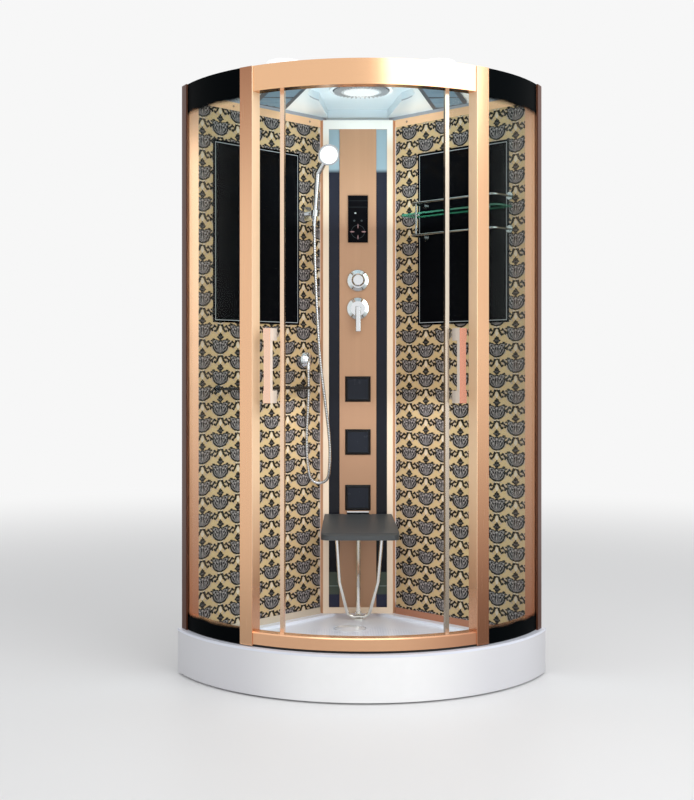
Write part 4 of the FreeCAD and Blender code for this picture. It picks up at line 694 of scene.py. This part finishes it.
# %% Spray heads
rain_y = -0.070
slot_from, slot_to, slot_radius = 2.0218, 2.024, 0.100
fins_from, fins_to, fin_count = 0.070, 0.0985, 36
material, ink, surface, place = finish("rain_white", (0.86, 0.90, 0.92), 0.0, 0.18)
x, y, z = axes(ink, place)
from_axis = x.far(y - rain_y)
# Painted shade: a dark slot round the head above its rim, and dark gaps between the fins.
slot = (slot_from - z).soft(0.0, 0.0001) * (z - slot_to).soft(0.0, 0.0001)
slot = slot * from_axis.soft(slot_radius, 0.001)
fins = (ink.math("ARCTAN2", x, y - rain_y) * (fin_count / math.pi)).fold(1.0).soft(0.45, 0.08)
fins = fins * from_axis.soft(fins_to, 0.001) * (1 - from_axis.soft(fins_from, 0.001))
link(slot.over(fins * 0.4).blend((0.86, 0.90, 0.92), (0.05, 0.06, 0.08)), surface,
     "Base Color")
dress(material, "rain_head")

face_centre = Vector((-0.112, 0.186, 1.843))
face_way = Vector((0.06, -0.93, -0.36)).normalized()
face_radius = 0.033
material, ink, surface, place = finish("handset_chrome", (0.80, 0.82, 0.85), 1.0, 0.1)
x, y, z = [part - centre for part, centre in zip(axes(ink, place), face_centre)]
out = x * face_way.x + y * face_way.y + z * face_way.z
from_centre = ink.math("SQRT", (x * x + y * y + z * z - out * out).over(0.0))
face = (-0.0004 - out).soft(0.0, 0.0002) * from_centre.soft(face_radius, 0.0006)
link(face.blend((0.80, 0.82, 0.85), (0.93, 0.93, 0.88)), surface, "Base Color")
link(1 - face, surface, "Metallic")
dress(material, "handset")

# %% [markdown]
# ## Display
# A touch panel: black, glossy, with marks printed on its underside. There is a window of
# two faint lines, a white dot, and four bars round a faint ring. The marks are measured in
# millimetres from the ring's centre, and only the front carries them.

# %% Display
material, ink, surface, place = finish("display", (0.003, 0.003, 0.0035), 0.0, 0.07,
                                       Specular_IOR_Level=0.02)
x, y, z = axes(ink, place)
ring_height = 1574.0
x = x * 1000.0
z = z * 1000.0 - ring_height
bars = blob(x, abs(z) - 21.0, 1.6, 8.0).over(blob(abs(x) - 22.0, z, 8.0, 2.4))
faint = ring(x, z, 25.0, 25.0, 0.7).over(blob(abs(x) - 14.0, z - 42.0, 4.0, 4.0) * 0.8)
lines = abs(abs(z - 106.0) - 12.0).soft(0.7, 0.5) * 0.5
colour = (faint.over(lines)).blend((0.004, 0.004, 0.005), (0.055, 0.065, 0.07))
colour = bars.blend(colour, (0.40, 0.24, 0.25))
colour = blob(x + 10.0, z - 71.0, 3.4, 2.6).blend(colour, (0.55, 0.57, 0.57))
front = facing(ink)[1].soft(-0.5, 0.05)
link(front.blend((0.004, 0.004, 0.005), colour), surface, "Base Color")
dress(material, "touch_display")

# %% [markdown]
# ## The shower hose
# A hose hangs in a smooth loop, so it starts as one NURBS curve with a round bevel, which is
# then turned into a mesh. Its points, in millimetres, are those of the solid hose, but its
# foot lies a few centimetres nearer the column, where the seat folds up in front of it. The
# middle line is worked out from the same points. Metal hose is wound from a strip, and shows
# as fine ribs, with the grooves between them painted darker as painted shade.

# %% Hose
hose_points = [
    (-165.5, 244, 1586), (-165.5, 246, 1510), (-161.5, 248, 1395), (-155, 250, 1250),
    (-147, 251, 1115), (-134, 253, 990), (-119, 256, 880), (-109, 260, 790),
    (-107, 264, 725), (-109, 270, 680), (-112, 280, 645.3), (-121.6, 286, 628.6),
    (-138.3, 288, 619), (-157.7, 287, 619), (-174.4, 283, 628.6), (-184, 278, 645.3),
    (-190, 272, 680), (-195, 266, 735), (-195, 262, 810), (-190, 259, 900),
    (-187, 257, 985), (-188.7, 257.4, 1048),
]
hose_radius = 0.0055
rib_pitch = 3.2


def middle_line(points, steps):
    """The curve's own line: one bend round each inner point, from half-way to half-way."""
    spots = [Vector(point) / 1000 for point in points]
    last = len(spots) - 2
    line = [spots[0]]
    for i in range(1, last + 1):
        start = spots[0] if i == 1 else (spots[i - 1] + spots[i]) / 2
        end = spots[-1] if i == last else (spots[i] + spots[i + 1]) / 2
        for t in (k / steps for k in range(1, steps + 1)):
            line.append(start * (1 - t) ** 2 + spots[i] * (2 * t * (1 - t)) + end * t ** 2)
    return line


route = bpy.data.curves.new("hose", "CURVE")
route.dimensions = "3D"
line = route.splines.new("NURBS")
line.points.add(len(hose_points) - 1)
for point, spot in zip(line.points, hose_points):
    point.co = (*[v / 1000 for v in spot], 1)
line.order_u = 3
line.use_endpoint_u = True
route.resolution_u = 16
route.bevel_depth = hose_radius
route.bevel_resolution = 6
route_object = bpy.data.objects.new("hose_route", route)
tube = bpy.data.meshes.new_from_object(route_object)
bpy.data.objects.remove(route_object)
hose = bpy.data.objects.new("hose", tube)
scene.collection.objects.link(hose)
material, ink, surface, place = finish("metal_hose", (0.84, 0.85, 0.87), 1.0, 0.16)
x, y, z = axes(ink, place)
# The grooves between the ribs are painted darker, as painted shade, on top of the bump.
ribs = (z * (1000.0 / rib_pitch)).fold(1.0)
link(ribs.blend((0.50, 0.51, 0.53), (0.88, 0.89, 0.90)), surface, "Base Color")
bump(ink, surface, ribs, 0.0005)
tube.materials.append(material)
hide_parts("shower_hose")

followed = middle_line(hose_points, 8)
hose_length = sum((b - a).length for a, b in zip(followed, followed[1:]))
print("length of the hose:", round(hose_length, 3), "m")
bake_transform(hose)

# %% [markdown]
# ## Screws and nozzles
# Two screws hold each top trim to its wall, and rubber nozzles stand in rings on the face of
# the hand shower. Each set is one small mesh, and it moves with the piece that carries it.

# %% Screws and nozzles
def turned_pieces(name, material, places, way, radius, height, sides, slot_depth=0.0):
    """One mesh of equal domed buttons, which stand on their places and point one way."""
    mesh = bmesh.new()
    turn = way.to_track_quat("Z", "Y").to_matrix().to_4x4()
    for place in places:
        stand = Matrix.Translation(place) @ turn @ Matrix.Translation((0, 0, height / 2 - 0.0002))
        bmesh.ops.create_cone(mesh, cap_ends=True, segments=sides, radius1=radius,
                              radius2=radius * 0.78, depth=height, matrix=stand)
        lids = [f for f in mesh.faces if len(f.verts) == sides and not f.tag
                and f.normal.dot(way) > 0.9]
        for lid in lids:
            lid.tag = True
        if slot_depth:
            bmesh.ops.inset_region(mesh, faces=lids, thickness=radius * 0.42, depth=-slot_depth)
            for face in mesh.faces:
                face.tag = True
    data = bpy.data.meshes.new(name)
    mesh.to_mesh(data)
    mesh.free()
    data.materials.append(material)
    piece = bpy.data.objects.new(name, data)
    scene.collection.objects.link(piece)
    return piece


def wall_spot(side, along, inward, height):
    """A place at a wall: so far along it from the corner and so far off it."""
    return Vector((side * (along - inward) / math.sqrt(2),
                   back_corner - (along + inward) / math.sqrt(2), height))


screw_height, screw_off_wall = 1.986, 0.041
screw_steel = plain("screw_steel", (0.55, 0.33, 0.24), 1.0, 0.3, 200.0, 0.06)
for side, word in ((-1, "left"), (1, "right")):
    way = Vector((-side, -1, 0)).normalized()
    spots = [wall_spot(side, along, screw_off_wall, screw_height) for along in (0.30, 0.68)]
    screws = turned_pieces(f"trim_screws_{word}", screw_steel, spots, way, radius=0.0045,
                           height=0.0016, sides=20, slot_depth=0.0006)
    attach(screws, "cabin")

across = face_way.cross(Vector((0, 0, 1))).normalized()
upward = across.cross(face_way)
spots = []
for ring_radius, count in ((0.009, 6), (0.018, 12), (0.027, 18)):
    for k in range(count):
        angle = math.tau * k / count
        spots.append(face_centre + (across * math.cos(angle) + upward * math.sin(angle))
                     * ring_radius)
nozzle_rubber = plain("nozzle_rubber", (0.52, 0.54, 0.56), 0.0, 0.5, 300.0, 0.05)
nozzles = turned_pieces("hand_nozzles", nozzle_rubber, spots, face_way, radius=0.0013,
                        height=0.0014, sides=8)
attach(nozzles, "handset")
print("small pieces:", len(spots) + 4)

# %% [markdown]
# ## The floor
# A pale floor, wide enough to leave the frame on all sides. It reflects a little. Far off
# it fades into the pale background, so that the horizon is soft, and in a mirror image it is
# dim near the cabin and pale beyond.

# %% Floor
sheet = bmesh.new()
bmesh.ops.create_grid(sheet, x_segments=1, y_segments=1, size=14)
ground_mesh = bpy.data.meshes.new("floor")
sheet.to_mesh(ground_mesh)
sheet.free()
floor = bpy.data.objects.new("floor", ground_mesh)
scene.collection.objects.link(floor)
material, ink, surface, place = finish("floor", (0.80, 0.80, 0.80), 0.0, 0.5)
x, y, z = axes(ink, place)
fade_from, fade_to = 1.6, 6.5
mirror_from, mirror_to = 1.0, 5.0
away = ink.node("ShaderNodeMapRange", {"interpolation_type": "SMOOTHSTEP"},
                {0: x.far(y), 1: fade_from, 2: fade_to, 3: 0.0, 4: 1.0})
glow = ink.node("ShaderNodeEmission", None, {0: (0.93, 0.93, 0.93, 1)})
fading = mix_shaders(ink, away, surface, glow)
reach = ink.node("ShaderNodeMapRange", {"interpolation_type": "SMOOTHSTEP"},
                 {0: x.far(y), 1: mirror_from, 2: mirror_to, 3: 0.42, 4: 0.93})
dim = ink.node("ShaderNodeEmission", None, {0: reach})
mirrored = ink.node("ShaderNodeLightPath", output="Is Glossy Ray")
cover(ink, mix_shaders(ink, mirrored, fading, dim))
ground_mesh.materials.append(material)
